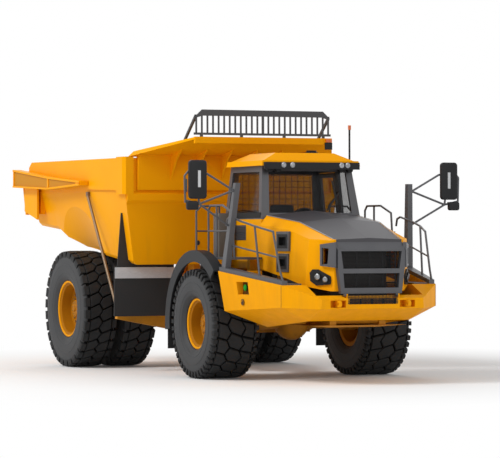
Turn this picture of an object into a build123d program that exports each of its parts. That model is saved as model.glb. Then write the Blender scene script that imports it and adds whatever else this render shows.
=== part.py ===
from build123d import *
import os
from math import cos, radians, sin, sqrt

os.makedirs("parts", exist_ok=True)

# Articulated dump truck with two axles. Millimetres, +X forward, +Y to its left, +Z up.
# The origin is on the ground in the middle of the length, and the bed lies down.

# Axles and tyres
front_axle_x = 2313
wheelbase = 5220
rear_axle_x = front_axle_x - wheelbase
front_tyre_diameter = 1898
front_tyre_width = 875
front_wheel_y = 1467
front_rim_radius = 440
front_lug_count = 20
rear_tyre_diameter = 2193
rear_tyre_width = 655
rear_wheel_ys = (1148, 1948)
rear_rim_radius = 530
rear_lug_count = 26
lug_depth = 45
flange_height = 34
flange_width = 28
rim_width_share = 0.70
front_dish = 250
rear_dish = 260
front_axle_z = front_tyre_diameter / 2
rear_axle_z = rear_tyre_diameter / 2
stub_radius = 150
stub_clearance = 0.3

# Datums: cab, hood and bumper are placed from body_x, bed and rear frame from bed_x
body_lead = 580
body_x = front_axle_x + body_lead
bed_x = rear_axle_x + body_lead

# Fits
seat_gap = 0.3
running_gap = 6
pin_clearance = 0.3

# Joint lines
pivot_x = body_x - 1850
pivot_z = 1000
tip_x = bed_x - 1380
tip_z = 1750
gate_x = bed_x + 370
gate_z = 3450

# Front frame
rail_y = 460
rail_width = 120
rail_bottom_z = 850
rail_arch_z = 1230
rail_top_z = 1450
core_half = 240
frame_front_x = body_x + 2020
jaw_thickness = 80
jaw_opening = 310
jaw_radius = 170
pivot_pin_radius = 70

# Bumper, side boxes and belly guard
bumper_front_x = body_x + 2590
bumper_back_x = body_x + 2076
bumper_half = 935
bumper_corner_y = 1440
bumper_front_top_z = 1425
bumper_front_bottom_z = 1258
bumper_corner_top_z = 1647
bumper_corner_bottom_z = 1276
bumper_low_z = 1047
tow_eye_width = 50
tow_eye_radius = 53
tow_bore_radius = 25
tow_eye_reach = 32
box_rear_x = body_x + 425
box_rear_y = 1847
box_rear_side_y = 1727
box_rear_top_z = 1868
box_rear_bottom_z = 1190
box_low_y = 927
box_low_z = 904
box_inner_y = 1060
box_wall_rear = 210
box_wall_front = 130
footwell_z = 1640
beam_height = 70
belly_bottom_z = 930
deck_thickness = 40

# Fenders and front walkway
fender_radius = 1270
fender_lip = 200
fender_wall = 30
fender_inner_y = 1680
fender_outer_y = 1870
fender_front_angle = 47
fender_rear_angle = 186
flap_inner_y = 1070
walk_z = 2060
walk_inner_y = 1025

# Cab
cab_front_x = body_x + 235
cab_rear_x = body_x - 1300
cab_half = 950
cab_floor_z = 1900
cab_sill_z = 2750
cab_top_z = 3670
cab_top_half = 850
cab_top_front_x = body_x + 60
cab_top_rear_x = body_x - 1250
cab_wall = 50
roof_height = 230
roof_overhang = 90

# Hood
hood_rear_x = cab_front_x + 25
hood_wall = 25
mask_back_x = body_x + 2380
mask_front_x = body_x + 2535
mask_chin_half = 600
mask_top_z = 2345
mask_shelf_z = 1935
mask_bottom_z = 1505
corner_front_y = 640
corner_rear_x = body_x + 1950
corner_rear_y = 975
hood_hinge_x = body_x + 2548
hood_hinge_z = 1484
hood_pin_radius = 9
hinge_ys = (-500, 456)

# Bin
bin_front_x = bed_x + 2120
bin_bend_x = bed_x - 820
bin_chute_x = bed_x - 1770
bin_rear_x = bed_x - 2800
bin_wall = 45
bin_half_top = 2130
bin_half_low = 1960
bin_chine = 60
bin_chamfer = 60
bin_front_floor_z = 1950
bin_bend_floor_z = 2270
bin_chute_floor_z = 2600
bin_rear_floor_z = 2680
rail_low_z = 3290
rail_high_z = 3880
rail_outer_y = 2175
rail_inner_y = 1960
hollow_inner_y = 1700
hollow_inner_radius = 1160
hollow_outer_y = 2340
hollow_outer_radius = 2440
lip_x = bin_front_x + 1390
lip_z = 4220
lip_half = 1345
canopy_back_z = 3960
canopy_plate = 40
guard_height = 490
guard_gap = 70
guard_top_z = lip_z + guard_height
guard_bottom_z = lip_z + guard_gap

# Tailgate
arm_inner_y = 2190
arm_outer_y = 2335
arm_rear_x = bed_x - 3230

# Rear frame and hoist
outrigger_x = bed_x + 1620
hoist_y = 670
hoist_low_x = bed_x + 1330
hoist_low_z = 1000
hoist_high_x = bed_x - 180
hoist_high_z = 2090
hoist_radius = 125
hoist_rod_radius = 75
hoist_pin_radius = 50
hoist_barrel_length = 1650
hoist_rod_start = 165
hoist_lug_y = 85

# Steering cylinders
steer_front_x = pivot_x + 1050
steer_front_y = 640
steer_rear_x = pivot_x - 40
steer_rear_y = 297
steer_barrel_length = 720
steer_rod_start = 325
steer_pin_radius = 28
steer_lug_z = 60


def block(xs, ys, zs):
    """Box between two limits along each axis."""
    size = [abs(b - a) for a, b in (xs, ys, zs)]
    middle = [(a + b) / 2 for a, b in (xs, ys, zs)]
    return Pos(*middle) * Box(*size)


def side_plate(outline, y0, y1):
    """Plate with an outline of (x, z) points, from y0 to y1."""
    face = make_face(Polyline(*[(x, y0, z) for x, z in outline], close=True))
    return Solid.extrude(face.face(), Vector(0, y1 - y0, 0))


def cross_plate(outline, x0, x1):
    """Plate with an outline of (y, z) points, from x0 to x1."""
    face = make_face(Polyline(*[(x0, y, z) for y, z in outline], close=True))
    return Solid.extrude(face.face(), Vector(x1 - x0, 0, 0))


def floor_plate(outline, z0, z1):
    """Plate with an outline of (x, y) points, from z0 to z1."""
    face = make_face(Polyline(*[(x, y, z0) for x, y in outline], close=True))
    return Solid.extrude(face.face(), Vector(0, 0, z1 - z0))


def skin(sections):
    """Straight-sided loft through closed outlines of (x, y, z) points."""
    wires = [Wire.make_polygon([Vector(*p) for p in s], close=True) for s in sections]
    return Solid.make_loft(wires, ruled=True)


def bar(start, end, radius):
    """Round bar between two points."""
    a, b = Vector(*start), Vector(*end)
    return Solid.make_cylinder(radius, (b - a).length, Plane(origin=a, z_dir=b - a))


def tube(points, radius):
    """Round tube through points, with a ball at each bend."""
    run = [bar(a, b, radius) for a, b in zip(points, points[1:])]
    run += [Pos(*p) * Sphere(radius) for p in points[1:-1]]
    return fuse(run)


def fuse(shapes):
    """One shape from many that touch or overlap."""
    first, *rest = shapes
    return first.fuse(*rest) if rest else first


def mirror_y(shape):
    """The same piece on the other side of the machine."""
    return shape.mirror(Plane.XZ)


def pair(shape):
    """A piece on the left and its mirror image on the right."""
    return [shape, mirror_y(shape)]


def solids_of(shape):
    """Every solid of a shape, or of a list of shapes."""
    if isinstance(shape, (list, tuple)):
        return [s for one in shape for s in solids_of(one)]
    return list(shape.solids())


def save(name, *shapes):
    """Write one piece, or a group of like pieces, under its name."""
    solids = solids_of(list(shapes))
    export_step(solids[0] if len(solids) == 1 else Compound(children=solids), f"parts/{name}.step")


# Wheels
def ring(profile, y_centre, axle_x, axle_z):
    """Turned piece about an axle from (radius, offset) points."""
    points = [(axle_x, y_centre + offset, axle_z + radius) for radius, offset in profile]
    face = make_face(Polyline(*points, close=True)).face()
    return Solid.revolve(face, 360, Axis((axle_x, y_centre, axle_z), (0, 1, 0)))


def tyre(diameter, width, rim_radius, lugs, y_centre, axle_x, axle_z, lead):
    """Tyre with slanted shoulder lugs; lead is the phase of its first lug in degrees."""
    outer = diameter / 2
    base = outer - lug_depth
    half = width / 2
    bead = rim_radius - flange_height + seat_gap
    seat = width * rim_width_share / 2 - seat_gap
    side_wall = [(bead, seat), (rim_radius + 5, seat), (rim_radius + 50, half * 0.88),
                 ((bead + base) / 2, half), (base - 70, half * 0.93), (base, half * 0.80)]
    outline = [(r, -o) for r, o in side_wall] + side_wall[::-1]
    carcass = ring(outline, y_centre, axle_x, axle_z)
    pitch = 2 * outer * sin(radians(180 / lugs))
    long = pitch * 0.60
    slant = pitch * 0.28
    top = sqrt(outer ** 2 - (long / 2 + slant / 2) ** 2)
    blocks = []
    for side in (1, -1):
        outline = [(-long / 2 - slant / 2, 0.06 * half), (long / 2 - slant / 2, 0.06 * half),
                   (long / 2 + slant / 2, 0.93 * half), (-long / 2 + slant / 2, 0.93 * half)]
        lug = floor_plate([(x, side * y) for x, y in outline], base - 60, top)
        for k in range(lugs):
            turn = lead + (k + (0.5 if side < 0 else 0)) * 360 / lugs
            blocks.append(Pos(axle_x, y_centre, axle_z) * Rot(0, turn, 0) * lug)
    return carcass.fuse(*blocks).solid()


def rim(radius, width, depth, y_centre, axle_x, axle_z, outward):
    """Rim with its flanges, dished disc and hub, open to the stub axle on the inner side."""
    half = width * rim_width_share / 2
    bead = radius - flange_height
    out = outward
    hub = stub_radius + 60
    bore = stub_radius + stub_clearance
    disc = half - depth
    profile = [(radius, half), (radius, half + flange_width), (bead - 40, half - 20),
               (bead - 60, disc + 60), (hub + 40, disc), (hub, disc + 70), (0, disc + 90),
               (0, disc - 10), (bore, disc - 10), (bore, disc - 150), (hub, disc - 150),
               (hub + 20, disc - 40), (bead - 60, disc - 20), (bead - 40, -half - 20),
               (radius, -half - flange_width), (radius, -half), (bead, -half), (bead, half)]
    return ring([(r, out * o) for r, o in profile], y_centre, axle_x, axle_z)


for side, name in ((1, "left"), (-1, "right")):
    save(f"front_tyre_{name}", tyre(front_tyre_diameter, front_tyre_width, front_rim_radius,
                                    front_lug_count, side * front_wheel_y, front_axle_x,
                                    front_axle_z, 0))
    save(f"front_rim_{name}", rim(front_rim_radius, front_tyre_width, front_dish,
                                  side * front_wheel_y, front_axle_x, front_axle_z, side))
    save(f"rear_tyres_{name}", [tyre(rear_tyre_diameter, rear_tyre_width, rear_rim_radius,
                                     rear_lug_count, side * y, rear_axle_x, rear_axle_z, 0)
                                for y in rear_wheel_ys])
    half = rear_tyre_width * rim_width_share / 2
    radius = rear_rim_radius
    bead = radius - flange_height
    band = [(radius, half), (radius, half + flange_width), (bead - 30, half + flange_width),
            (bead - 30, -half - flange_width), (radius, -half - flange_width), (radius, -half),
            (bead, -half), (bead, half)]
    near = half + flange_width - 5
    far = rear_wheel_ys[1] - rear_wheel_ys[0] - near
    spacer = [(bead - 2, near), (bead - 2, far), (bead - 30, far), (bead - 30, near)]
    dual = [rim(radius, rear_tyre_width, rear_dish, side * rear_wheel_ys[1], rear_axle_x, rear_axle_z,
                side)]
    for profile in (band, spacer):
        dual.append(ring([(r, side * o) for r, o in profile], side * rear_wheel_ys[0], rear_axle_x,
                         rear_axle_z))
    save(f"rear_rims_{name}", fuse(dual))

# Side boxes beside the hood, with a footwell and a dark beam along the top edge
def box_edge(x):
    """Outer y and top z of the side box at x."""
    t = (x - box_rear_x) / (bumper_back_x - box_rear_x)
    return (box_rear_y + t * (bumper_corner_y - box_rear_y),
            box_rear_top_z + t * (bumper_corner_top_z - box_rear_top_z))


well_rear_x = box_rear_x + 60
tanks, well_plates, beams = {}, [], []
for side in (1, -1):
    rear_section = [(box_rear_x, side * y, z) for y, z in
                    ((box_rear_y, box_rear_top_z), (box_rear_side_y, box_rear_bottom_z),
                     (box_low_y, box_low_z), (box_inner_y, box_rear_top_z))]
    front_section = [(bumper_back_x - seat_gap, side * y, z) for y, z in
                     ((bumper_corner_y, bumper_corner_top_z), (bumper_corner_y, bumper_corner_bottom_z),
                      (bumper_half, bumper_low_z), (bumper_half + 60, bumper_corner_top_z))]
    tank = skin([rear_section, front_section])
    well_edges = [(well_rear_x, box_edge(well_rear_x)[0] - box_wall_rear),
                  (bumper_back_x + 1, bumper_corner_y - box_wall_front)]
    tank = tank.cut(floor_plate([(x, side * y) for x, y in well_edges + [(bumper_back_x + 1, 800),
                                                                         (well_rear_x, 800)]],
                                footwell_z, footwell_z + 500))
    well_plates.append(floor_plate([(well_rear_x + seat_gap, side * (well_edges[0][1] - 3)),
                                    (bumper_back_x - 40, side * (well_edges[1][1] - 3)),
                                    (bumper_back_x - 40, side * (box_inner_y - 10)),
                                    (well_rear_x + seat_gap, side * (box_inner_y - 10))],
                                   footwell_z + seat_gap, footwell_z + 30))
    if side > 0:
        for x, z in ((1350, 1200), (1350, 1440)):
            tank = tank.cut(block((body_x + x, body_x + x + 450), (1510, 2300), (z, z + 160)))
    else:
        tank = tank.cut(block((body_x + 890, body_x + 1200), (-2300, -1585), (1480, 1690)))
    tanks[side] = tank
    sections = []
    for x, inset in ((box_rear_x + 5, box_wall_rear - 10), (bumper_back_x - 5, box_wall_front - 10)):
        edge_y, edge_z = box_edge(x)
        low, high = edge_z + seat_gap, edge_z + beam_height
        sections.append([(x, side * y, z) for y, z in ((edge_y - 20, low), (edge_y - inset, low),
                                                       (edge_y - inset, high), (edge_y - 20, high))])
    beams.append(skin(sections))
save("side_boxes", [tanks[side] for side in tanks])

# Front frame with its hitch jaws and pivot pin
rail_ys = (rail_y - rail_width / 2, rail_y + rail_width / 2)
head_x = pivot_x + jaw_radius + 60
arch_half = 330
rail_rear_x = pivot_x + 930
steer_lug_half = 80
rail_foot_x = steer_front_x + steer_lug_half
rail_side = side_plate([(rail_rear_x, rail_bottom_z - 60), (rail_foot_x, rail_bottom_z),
                        (rail_foot_x + 20, rail_arch_z), (front_axle_x + arch_half, rail_arch_z),
                        (front_axle_x + arch_half + 120, rail_bottom_z + 120),
                        (frame_front_x, rail_bottom_z + 120), (frame_front_x, rail_top_z),
                        (rail_rear_x + 340, rail_top_z), (rail_rear_x, rail_top_z - 200)], *rail_ys)
jaw_zs = ((pivot_z - jaw_opening / 2 - jaw_thickness, pivot_z - jaw_opening / 2),
          (pivot_z + jaw_opening / 2, pivot_z + jaw_opening / 2 + jaw_thickness))
frame_parts = pair(rail_side)
frame_parts.append(block((head_x, rail_rear_x + 10), (-core_half, core_half), (jaw_zs[0][0], jaw_zs[1][1])))
for z0, z1 in jaw_zs:
    frame_parts.append(floor_plate([(rail_rear_x + 10, -rail_ys[1]), (head_x + 200, -rail_ys[1]),
                                    (pivot_x, -jaw_radius), (pivot_x, jaw_radius), (head_x + 200, rail_ys[1]),
                                    (rail_rear_x + 10, rail_ys[1])], z0, z1))
    frame_parts.append(Pos(pivot_x, 0, (z0 + z1) / 2) * Cylinder(jaw_radius, z1 - z0))
frame_parts.append(Pos(pivot_x, 0, pivot_z) * Cylinder(pivot_pin_radius, jaw_zs[1][1] - jaw_zs[0][0] + 60))
for x, z in ((frame_front_x - 100, 1060), (body_x + 900, 1060), (front_axle_x - 20, rail_top_z - 90)):
    frame_parts.append(bar((x, -rail_y, z), (x, rail_y, z), 75))
mount_top_z = cab_floor_z - seat_gap
mount_beam_z = 1860
mount_half = 60
walk_foot_ys = (cab_half + 15, 1100)
for x in (cab_front_x - 200, cab_rear_x + 250):
    for y in (-rail_y, rail_y):
        frame_parts.append(block((x - 80, x + 80), (y - 60, y + 60), (rail_top_z - 230, mount_top_z)))
    frame_parts.append(block((x - mount_half, x + mount_half), (-walk_foot_ys[1], walk_foot_ys[1]),
                             (mount_beam_z, mount_top_z)))
    for side in (1, -1):
        frame_parts.append(block((x - mount_half, x + mount_half),
                                 (side * walk_foot_ys[0], side * walk_foot_ys[1]),
                                 (mount_beam_z, walk_z - seat_gap)))
steer_lug = block((steer_front_x - steer_lug_half, rail_foot_x),
                  (rail_ys[1] - 10, steer_front_y + 70), (pivot_z + 60, pivot_z + 100))
steer_lug_low = block((steer_front_x - steer_lug_half, rail_foot_x),
                      (rail_ys[1] - 10, steer_front_y + 70), (pivot_z - 100, pivot_z - 60))
steer_pin = Pos(steer_front_x, steer_front_y, pivot_z) * Cylinder(steer_pin_radius, 200)
for piece in (steer_lug, steer_lug_low, steer_pin):
    frame_parts += pair(piece)
box_beam_half = box_low_y + 70
for x, z in ((body_x + 1200, 1010), (body_x + 1850, 1130)):
    frame_parts.append(block((x, x + 120), (-box_beam_half, box_beam_half), (z, z + 110)))
frame_parts.append(block((frame_front_x - 120, bumper_back_x - seat_gap), (-rail_y, rail_y), (1080, 1240)))
strut_y = 860
strut_seat_z = rail_top_z - 90
for side in (1, -1):
    frame_parts.append(block((front_axle_x - 120, front_axle_x + 120),
                             (side * rail_y, side * (strut_y + 100)), (strut_seat_z, rail_top_z)))
frame = fuse(frame_parts).cut(*[tanks[side] for side in tanks])
save("front_frame", frame)

# Bumper: wide centre face, swept corners and sloped underside
bumper_outline = [(bumper_back_x, bumper_corner_top_z), (bumper_front_x, bumper_front_top_z),
                  (bumper_front_x - 12, bumper_front_bottom_z), (bumper_back_x, bumper_low_z)]
bumper = side_plate(bumper_outline, -bumper_corner_y, bumper_corner_y)
for side in (1, -1):
    corner = floor_plate([(bumper_front_x + 200, side * (bumper_half - 200)),
                          (bumper_front_x, side * bumper_half),
                          (bumper_back_x, side * bumper_corner_y),
                          (bumper_back_x - 200, side * (bumper_corner_y + 200)),
                          (bumper_front_x + 400, side * (bumper_corner_y + 400))], 900, 1800)
    under = skin([[(bumper_front_x + 5, side * (bumper_half + 2), bumper_front_bottom_z - 5),
                   (bumper_back_x - 5, side * (bumper_corner_y + 5), bumper_corner_bottom_z),
                   (bumper_back_x - 5, side * bumper_half, bumper_low_z)],
                  [(bumper_front_x + 5, side * (bumper_half + 2), bumper_front_bottom_z - 400),
                   (bumper_back_x - 5, side * (bumper_corner_y + 5), bumper_corner_bottom_z - 400),
                   (bumper_back_x - 5, side * bumper_half, bumper_low_z - 400)]])
    bumper = bumper.cut(corner).cut(under)
hood_well = block((bumper_back_x - 10, body_x + 2470), (-985, 985), (1440, 1700))
bumper = bumper.cut(hood_well)
hitch_y = 640
hitch_z = 1340
for side in (1, -1):
    pocket = block((bumper_front_x - 130, bumper_front_x + 20),
                   (side * (hitch_y - 140), side * (hitch_y + 140)), (hitch_z - 60, hitch_z + 55))
    bumper = bumper.cut(pocket)
intake = block((bumper_front_x - 100, bumper_front_x + 20), (-440, 440), (1330, 1500))
bumper = bumper.cut(intake)
tow_eye_x = bumper_front_x + tow_eye_reach
bumper_parts = [bumper]
for side in (1, -1):
    eye_ys = (side * hitch_y - tow_eye_width / 2, side * hitch_y + tow_eye_width / 2)
    eye = block((bumper_front_x - 140, tow_eye_x), eye_ys,
                (hitch_z - tow_eye_radius, hitch_z + tow_eye_radius))
    eye = eye.fuse(bar((tow_eye_x, eye_ys[0], hitch_z), (tow_eye_x, eye_ys[1], hitch_z), tow_eye_radius))
    bumper_parts.append(eye.cut(bar((tow_eye_x, eye_ys[0] - 5, hitch_z), (tow_eye_x, eye_ys[1] + 5, hitch_z),
                                    tow_bore_radius)))
for y in hinge_ys:
    tab = block((hood_hinge_x - 22, hood_hinge_x + 22), (y + 20, y + 44), (1400, hood_hinge_z + 18))
    pin = bar((hood_hinge_x, y - 18, hood_hinge_z), (hood_hinge_x, y + 30, hood_hinge_z), hood_pin_radius)
    bumper_parts += [tab, pin]
save("front_bumper", fuse(bumper_parts))
slats = [block((bumper_front_x - 60, bumper_front_x - 30), (-440 + seat_gap, 440 - seat_gap), (z, z + 12))
         for z in (1340, 1362, 1384, 1406)]
posts = [block((bumper_front_x - 70, bumper_front_x - 20), (y - 8, y + 8), (1330 + seat_gap, 1425))
         for y in (-420, -210, 0, 210, 420)]
save("bumper_intake", fuse(slats + posts))

# Belly guard under the engine
belly_top_z = rail_bottom_z + 120 - seat_gap
save("belly_guard", skin([[(body_x + x, y, belly_top_z) for x, y in
                           ((1080, -780), (2060, -900), (2060, 900), (1080, 780))],
                          [(body_x + x, y, belly_bottom_z) for x, y in
                           ((1200, -380), (1850, -420), (1850, 420), (1200, 380))]]))

# Fenders, walkways and mud flaps
def arc_band(r0, r1, y0, y1, a0, a1, axle_x, axle_z):
    """Part of a ring about an axle, between two angles from straight ahead."""
    def at(r, a):
        return (axle_x + r * cos(radians(a)), axle_z + r * sin(radians(a)))
    mid = (a0 + a1) / 2
    with_y = lambda p: (p[0], y0, p[1])
    outer = ThreePointArc(with_y(at(r1, a0)), with_y(at(r1, mid)), with_y(at(r1, a1)))
    inner = ThreePointArc(with_y(at(r0, a1)), with_y(at(r0, mid)), with_y(at(r0, a0)))
    ends = [Line(with_y(at(r1, a1)), with_y(at(r0, a1))), Line(with_y(at(r0, a0)), with_y(at(r1, a0)))]
    face = make_face(Wire([outer.edge(), ends[0].edge(), inner.edge(), ends[1].edge()])).face()
    return Solid.extrude(face, Vector(0, y1 - y0, 0))


fender = fuse([
    arc_band(fender_radius - fender_wall, fender_radius, fender_inner_y, fender_outer_y,
             fender_front_angle, fender_rear_angle, front_axle_x, front_axle_z),
    arc_band(fender_radius - fender_lip, fender_radius, fender_outer_y - fender_wall, fender_outer_y,
             fender_front_angle, fender_rear_angle, front_axle_x, front_axle_z)])
flap_tilt = radians(fender_rear_angle - 180)
flap_x = front_axle_x - (fender_radius - fender_wall) * cos(flap_tilt) + seat_gap
flap_bar = block((flap_x - 35, flap_x - seat_gap), (flap_inner_y, fender_inner_y + 5), (1000, 1060))
save("front_fenders", pair(fuse([fender, flap_bar])))
walk = block((cab_rear_x + 20, box_rear_x - seat_gap), (walk_inner_y, fender_inner_y - seat_gap),
             (walk_z, walk_z + deck_thickness))
save("walkways", pair(walk), well_plates, beams)
flap = block((flap_x, flap_x + 20), (flap_inner_y, fender_outer_y - fender_wall - 5), (480, 1060))
save("mud_flaps", pair(flap))

# Cab: tub, glazed upper frame, roof and glass
def cab_outline(z, grow=0.0):
    """Corners of the cab at height z, drawn in or out by grow."""
    t = (z - cab_sill_z) / (cab_top_z - cab_sill_z)
    front = cab_front_x + (cab_top_front_x - cab_front_x) * max(t, 0)
    rear = cab_rear_x + (cab_top_rear_x - cab_rear_x) * max(t, 0)
    half = cab_half + (cab_top_half - cab_half) * max(t, 0)
    return [(front + grow, half + grow, z), (front + grow, -half - grow, z),
            (rear - grow, -half - grow, z), (rear - grow, half + grow, z)]


tub = skin([cab_outline(cab_floor_z), cab_outline(cab_sill_z)]).cut(
    skin([cab_outline(cab_floor_z + 60, -cab_wall), cab_outline(cab_sill_z + 1, -cab_wall)]))
door_x = (cab_rear_x + 100, cab_rear_x + 800)
door_z = (walk_z + deck_thickness + 30, cab_top_z - 90)
tub = tub.cut(block((door_x[0], door_x[1]), (cab_half - 200, cab_half + 200), (door_z[0], cab_sill_z + 50)))
save("cab_tub", tub)
upper = skin([cab_outline(cab_sill_z + seat_gap), cab_outline(cab_top_z)]).cut(
    skin([cab_outline(cab_sill_z, -cab_wall), cab_outline(cab_top_z + 1, -cab_wall)]))
windscreen = cross_plate([(-790, cab_sill_z + 110), (790, cab_sill_z + 110), (740, cab_top_z - 90),
                          (-740, cab_top_z - 90)], cab_front_x - 400, cab_front_x + 200)
rear_window = cross_plate([(-760, cab_sill_z + 150), (760, cab_sill_z + 150), (720, cab_top_z - 120),
                           (-720, cab_top_z - 120)], cab_rear_x - 100, cab_rear_x + 300)
right_window = side_plate([(cab_rear_x + 130, cab_sill_z + 110), (cab_front_x - 130, cab_sill_z + 110),
                           (cab_top_front_x - 90, cab_top_z - 100), (cab_rear_x + 150, cab_top_z - 100)],
                          -cab_half - 100, -cab_top_half + 120)
left_front_window = side_plate([(door_x[1] + 110, cab_sill_z + 110), (cab_front_x - 130, cab_sill_z + 110),
                                (cab_top_front_x - 90, cab_top_z - 100), (door_x[1] + 110, cab_top_z - 100)],
                               cab_top_half - 120, cab_half + 100)
door_hole = block((door_x[0], door_x[1]), (cab_top_half - 200, cab_half + 200), (cab_sill_z - 50, door_z[1]))
for hole in (windscreen, rear_window, right_window, left_front_window, door_hole):
    upper = upper.cut(hole)
save("cab_frame", upper)

glass_layer = skin([cab_outline(cab_sill_z + 50, -16), cab_outline(cab_top_z - 30, -16)]).cut(
    skin([cab_outline(cab_sill_z + 49, -26), cab_outline(cab_top_z - 29, -26)]))
panes = []
for hole in (windscreen, rear_window, right_window, left_front_window):
    panes += solids_of(glass_layer.intersect(hole))
save("cab_glass", panes)


def roof_outline(z, half, front, rear):
    """Corners of the roof at one height."""
    return [(front, half, z), (front, -half, z), (rear, -half, z), (rear, half, z)]


roof_base = cab_top_z + seat_gap
roof = fuse([
    skin([roof_outline(roof_base, cab_top_half + roof_overhang, cab_top_front_x + 190, cab_top_rear_x - 20),
          roof_outline(roof_base + 90, cab_top_half + roof_overhang - 20, cab_top_front_x + 160,
                       cab_top_rear_x)]),
    skin([roof_outline(roof_base + 90, cab_top_half + 20, cab_top_front_x + 90, cab_top_rear_x + 20),
          roof_outline(roof_base + roof_height, 560, cab_top_front_x - 80, cab_top_rear_x + 160)])])
save("cab_roof", roof)
visor = block((cab_top_front_x + 190 + seat_gap, cab_top_front_x + 230),
              (-cab_top_half - 60, cab_top_half + 60), (roof_base - 60, roof_base + 60))
save("visor", visor)
lamps = []
for y in (-770, -610, 610, 770):
    lamps.append(bar((cab_top_front_x + 60, y, roof_base - 60), (cab_top_front_x + 150, y, roof_base - 60),
                     52))
    lamps.append(block((cab_top_front_x + 80, cab_top_front_x + 110), (y - 20, y + 20),
                       (roof_base - 60, roof_base - seat_gap)))
save("work_lamps", fuse(lamps))
beacon_x = cab_top_rear_x + 600
beacon_z = roof_base + roof_height + seat_gap
save("beacon", fuse([Pos(beacon_x, 430, beacon_z + 15) * Cylinder(120, 30),
                     Pos(beacon_x, 430, beacon_z + 40) * Cylinder(90, 50)]))
bracket_z = roof_base + 20
bracket_y = cab_top_half + roof_overhang - 20 * (bracket_z - roof_base) / 90 + seat_gap
antenna_y = bracket_y + 110
save("antenna", fuse([block((body_x - 430, body_x - 370), (bracket_y, antenna_y + 30),
                            (bracket_z, bracket_z + 20)),
                      bar((body_x - 400, antenna_y, bracket_z), (body_x - 400, antenna_y, 4410), 9)]))

# Cab fittings: seat, console with steering wheel and the rear window guard
seat_x = cab_rear_x + 560
seat_floor = cab_floor_z + 60 + seat_gap
seat = fuse([block((seat_x - 160, seat_x + 160), (-150, 150), (seat_floor, seat_floor + 330)),
             block((seat_x - 240, seat_x + 260), (-250, 250), (seat_floor + 320, seat_floor + 450)),
             side_plate([(seat_x - 250, seat_floor + 430), (seat_x - 130, seat_floor + 430),
                         (seat_x - 210, seat_floor + 1080), (seat_x - 310, seat_floor + 1080)], -250, 250)])
save("driver_seat", seat)
console_x = cab_front_x - cab_wall - seat_gap
console = fuse([side_plate([(console_x, seat_floor), (console_x, cab_sill_z - 10),
                            (console_x - 60, cab_sill_z + 80), (console_x - 230, cab_sill_z + 60),
                            (console_x - 200, cab_sill_z - 160), (console_x - 140, seat_floor)], -700, 700),
                bar((console_x - 150, 0, cab_sill_z - 150), (console_x - 330, 0, cab_sill_z + 30), 35),
                Plane(origin=(console_x - 340, 0, cab_sill_z + 40), z_dir=(-1, 0, 1)) * Cylinder(215, 30)])
save("dashboard", console)

# Cab door on the left side, hinged at its rear edge
def cab_side_y(z):
    """Outer face of the cab side at height z."""
    return cab_outline(max(z, cab_sill_z))[0][1]


edge = 8
door_bevel = 0.3
hinge_radius = 16
door_zs = (door_z[0] + edge, cab_sill_z, door_z[1] - edge)
door_sections = []
for depth in (0, cab_wall):
    rear, front = door_x[0] + edge, door_x[1] - edge - depth * door_bevel
    low, sill, high = [(cab_side_y(z) - depth, z) for z in door_zs]
    door_sections.append([(rear, *low), (front, *low), (front, *sill), (front, *high), (rear, *high),
                          (rear, *sill)])
lower_door = skin([[door_sections[k][i] for i in (0, 1, 2, 5)] for k in (0, 1)])
upper_door = skin([[door_sections[k][i] for i in (5, 2, 3, 4)] for k in (0, 1)])
door_window = side_plate([(door_x[0] + 90, cab_sill_z + 60), (door_x[1] - 90, cab_sill_z + 60),
                          (door_x[1] - 90, door_z[1] - 90), (door_x[0] + 90, door_z[1] - 90)],
                         cab_top_half - 120, cab_half + 100)
door = fuse([lower_door, upper_door]).cut(door_window)
handle = block((door_x[1] - 200, door_x[1] - 80), (cab_half - 2, cab_half + 30),
               (cab_sill_z - 120, cab_sill_z - 90))
hinge_y = cab_half + sqrt(hinge_radius ** 2 - edge ** 2) + seat_gap
hinges = [Pos(door_x[0] + edge, hinge_y, z) * Cylinder(hinge_radius, 120)
          for z in (door_z[0] + 200, cab_sill_z - 100)]
save("cab_door", fuse([door, handle] + hinges))
door_pane = skin([cab_outline(cab_sill_z + 30, -16), cab_outline(cab_top_z - 60, -16)]).cut(
    skin([cab_outline(cab_sill_z + 29, -26), cab_outline(cab_top_z - 59, -26)])).intersect(door_window)
save("door_glass", door_pane)

# Hood: flanks, top, front mask, grilles, lamps and vents
hood_stations = ((hood_rear_x, 1010, 1905, 985, 2650, 860, 2815, 2900),
                 (body_x + 1350, 990, 1745, 965, 2560, 745, 2690, 2760),
                 (mask_back_x, 930, 1545, 880, 2335, 610, 2400, 2425))


def hood_section(station, inset=0.0):
    """Closed section of the hood: x, then (y, z) of hem, shoulder and crease, then crown height."""
    x, hem_y, hem_z, shoulder_y, shoulder_z, crease_y, crease_z, crown_z = station
    half = [(hem_y - inset, hem_z), (shoulder_y - inset, shoulder_z - inset),
            (crease_y - inset, crease_z - inset)]
    left = [(x, y, z) for y, z in half]
    right = [(x, -y, z) for y, z in reversed(half)]
    return left + [(x, 0, crown_z - inset)] + right


mask_seat_x = mask_back_x + 60
corner_run = Vector(corner_rear_x - mask_seat_x, corner_rear_y - corner_front_y, 0)
corner_way = corner_run.normalized()


def corner_at(side, along, depth, z):
    """Point on the hood's slanted front corner: along it, out from it and up."""
    x = mask_seat_x + along * corner_way.X + depth * corner_way.Y
    y = corner_front_y + along * corner_way.Y - depth * corner_way.X
    return x, side * y, z


def corner_plate(side, outline, depth0, depth1):
    """Plate parallel to the slanted corner with an outline of (along, z) points."""
    face = make_face(Polyline(*[corner_at(side, a, depth0, z) for a, z in outline], close=True)).face()
    start, end = corner_at(side, 0, depth0, 0), corner_at(side, 0, depth1, 0)
    return Solid.extrude(face, Vector(*end) - Vector(*start))


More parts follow.
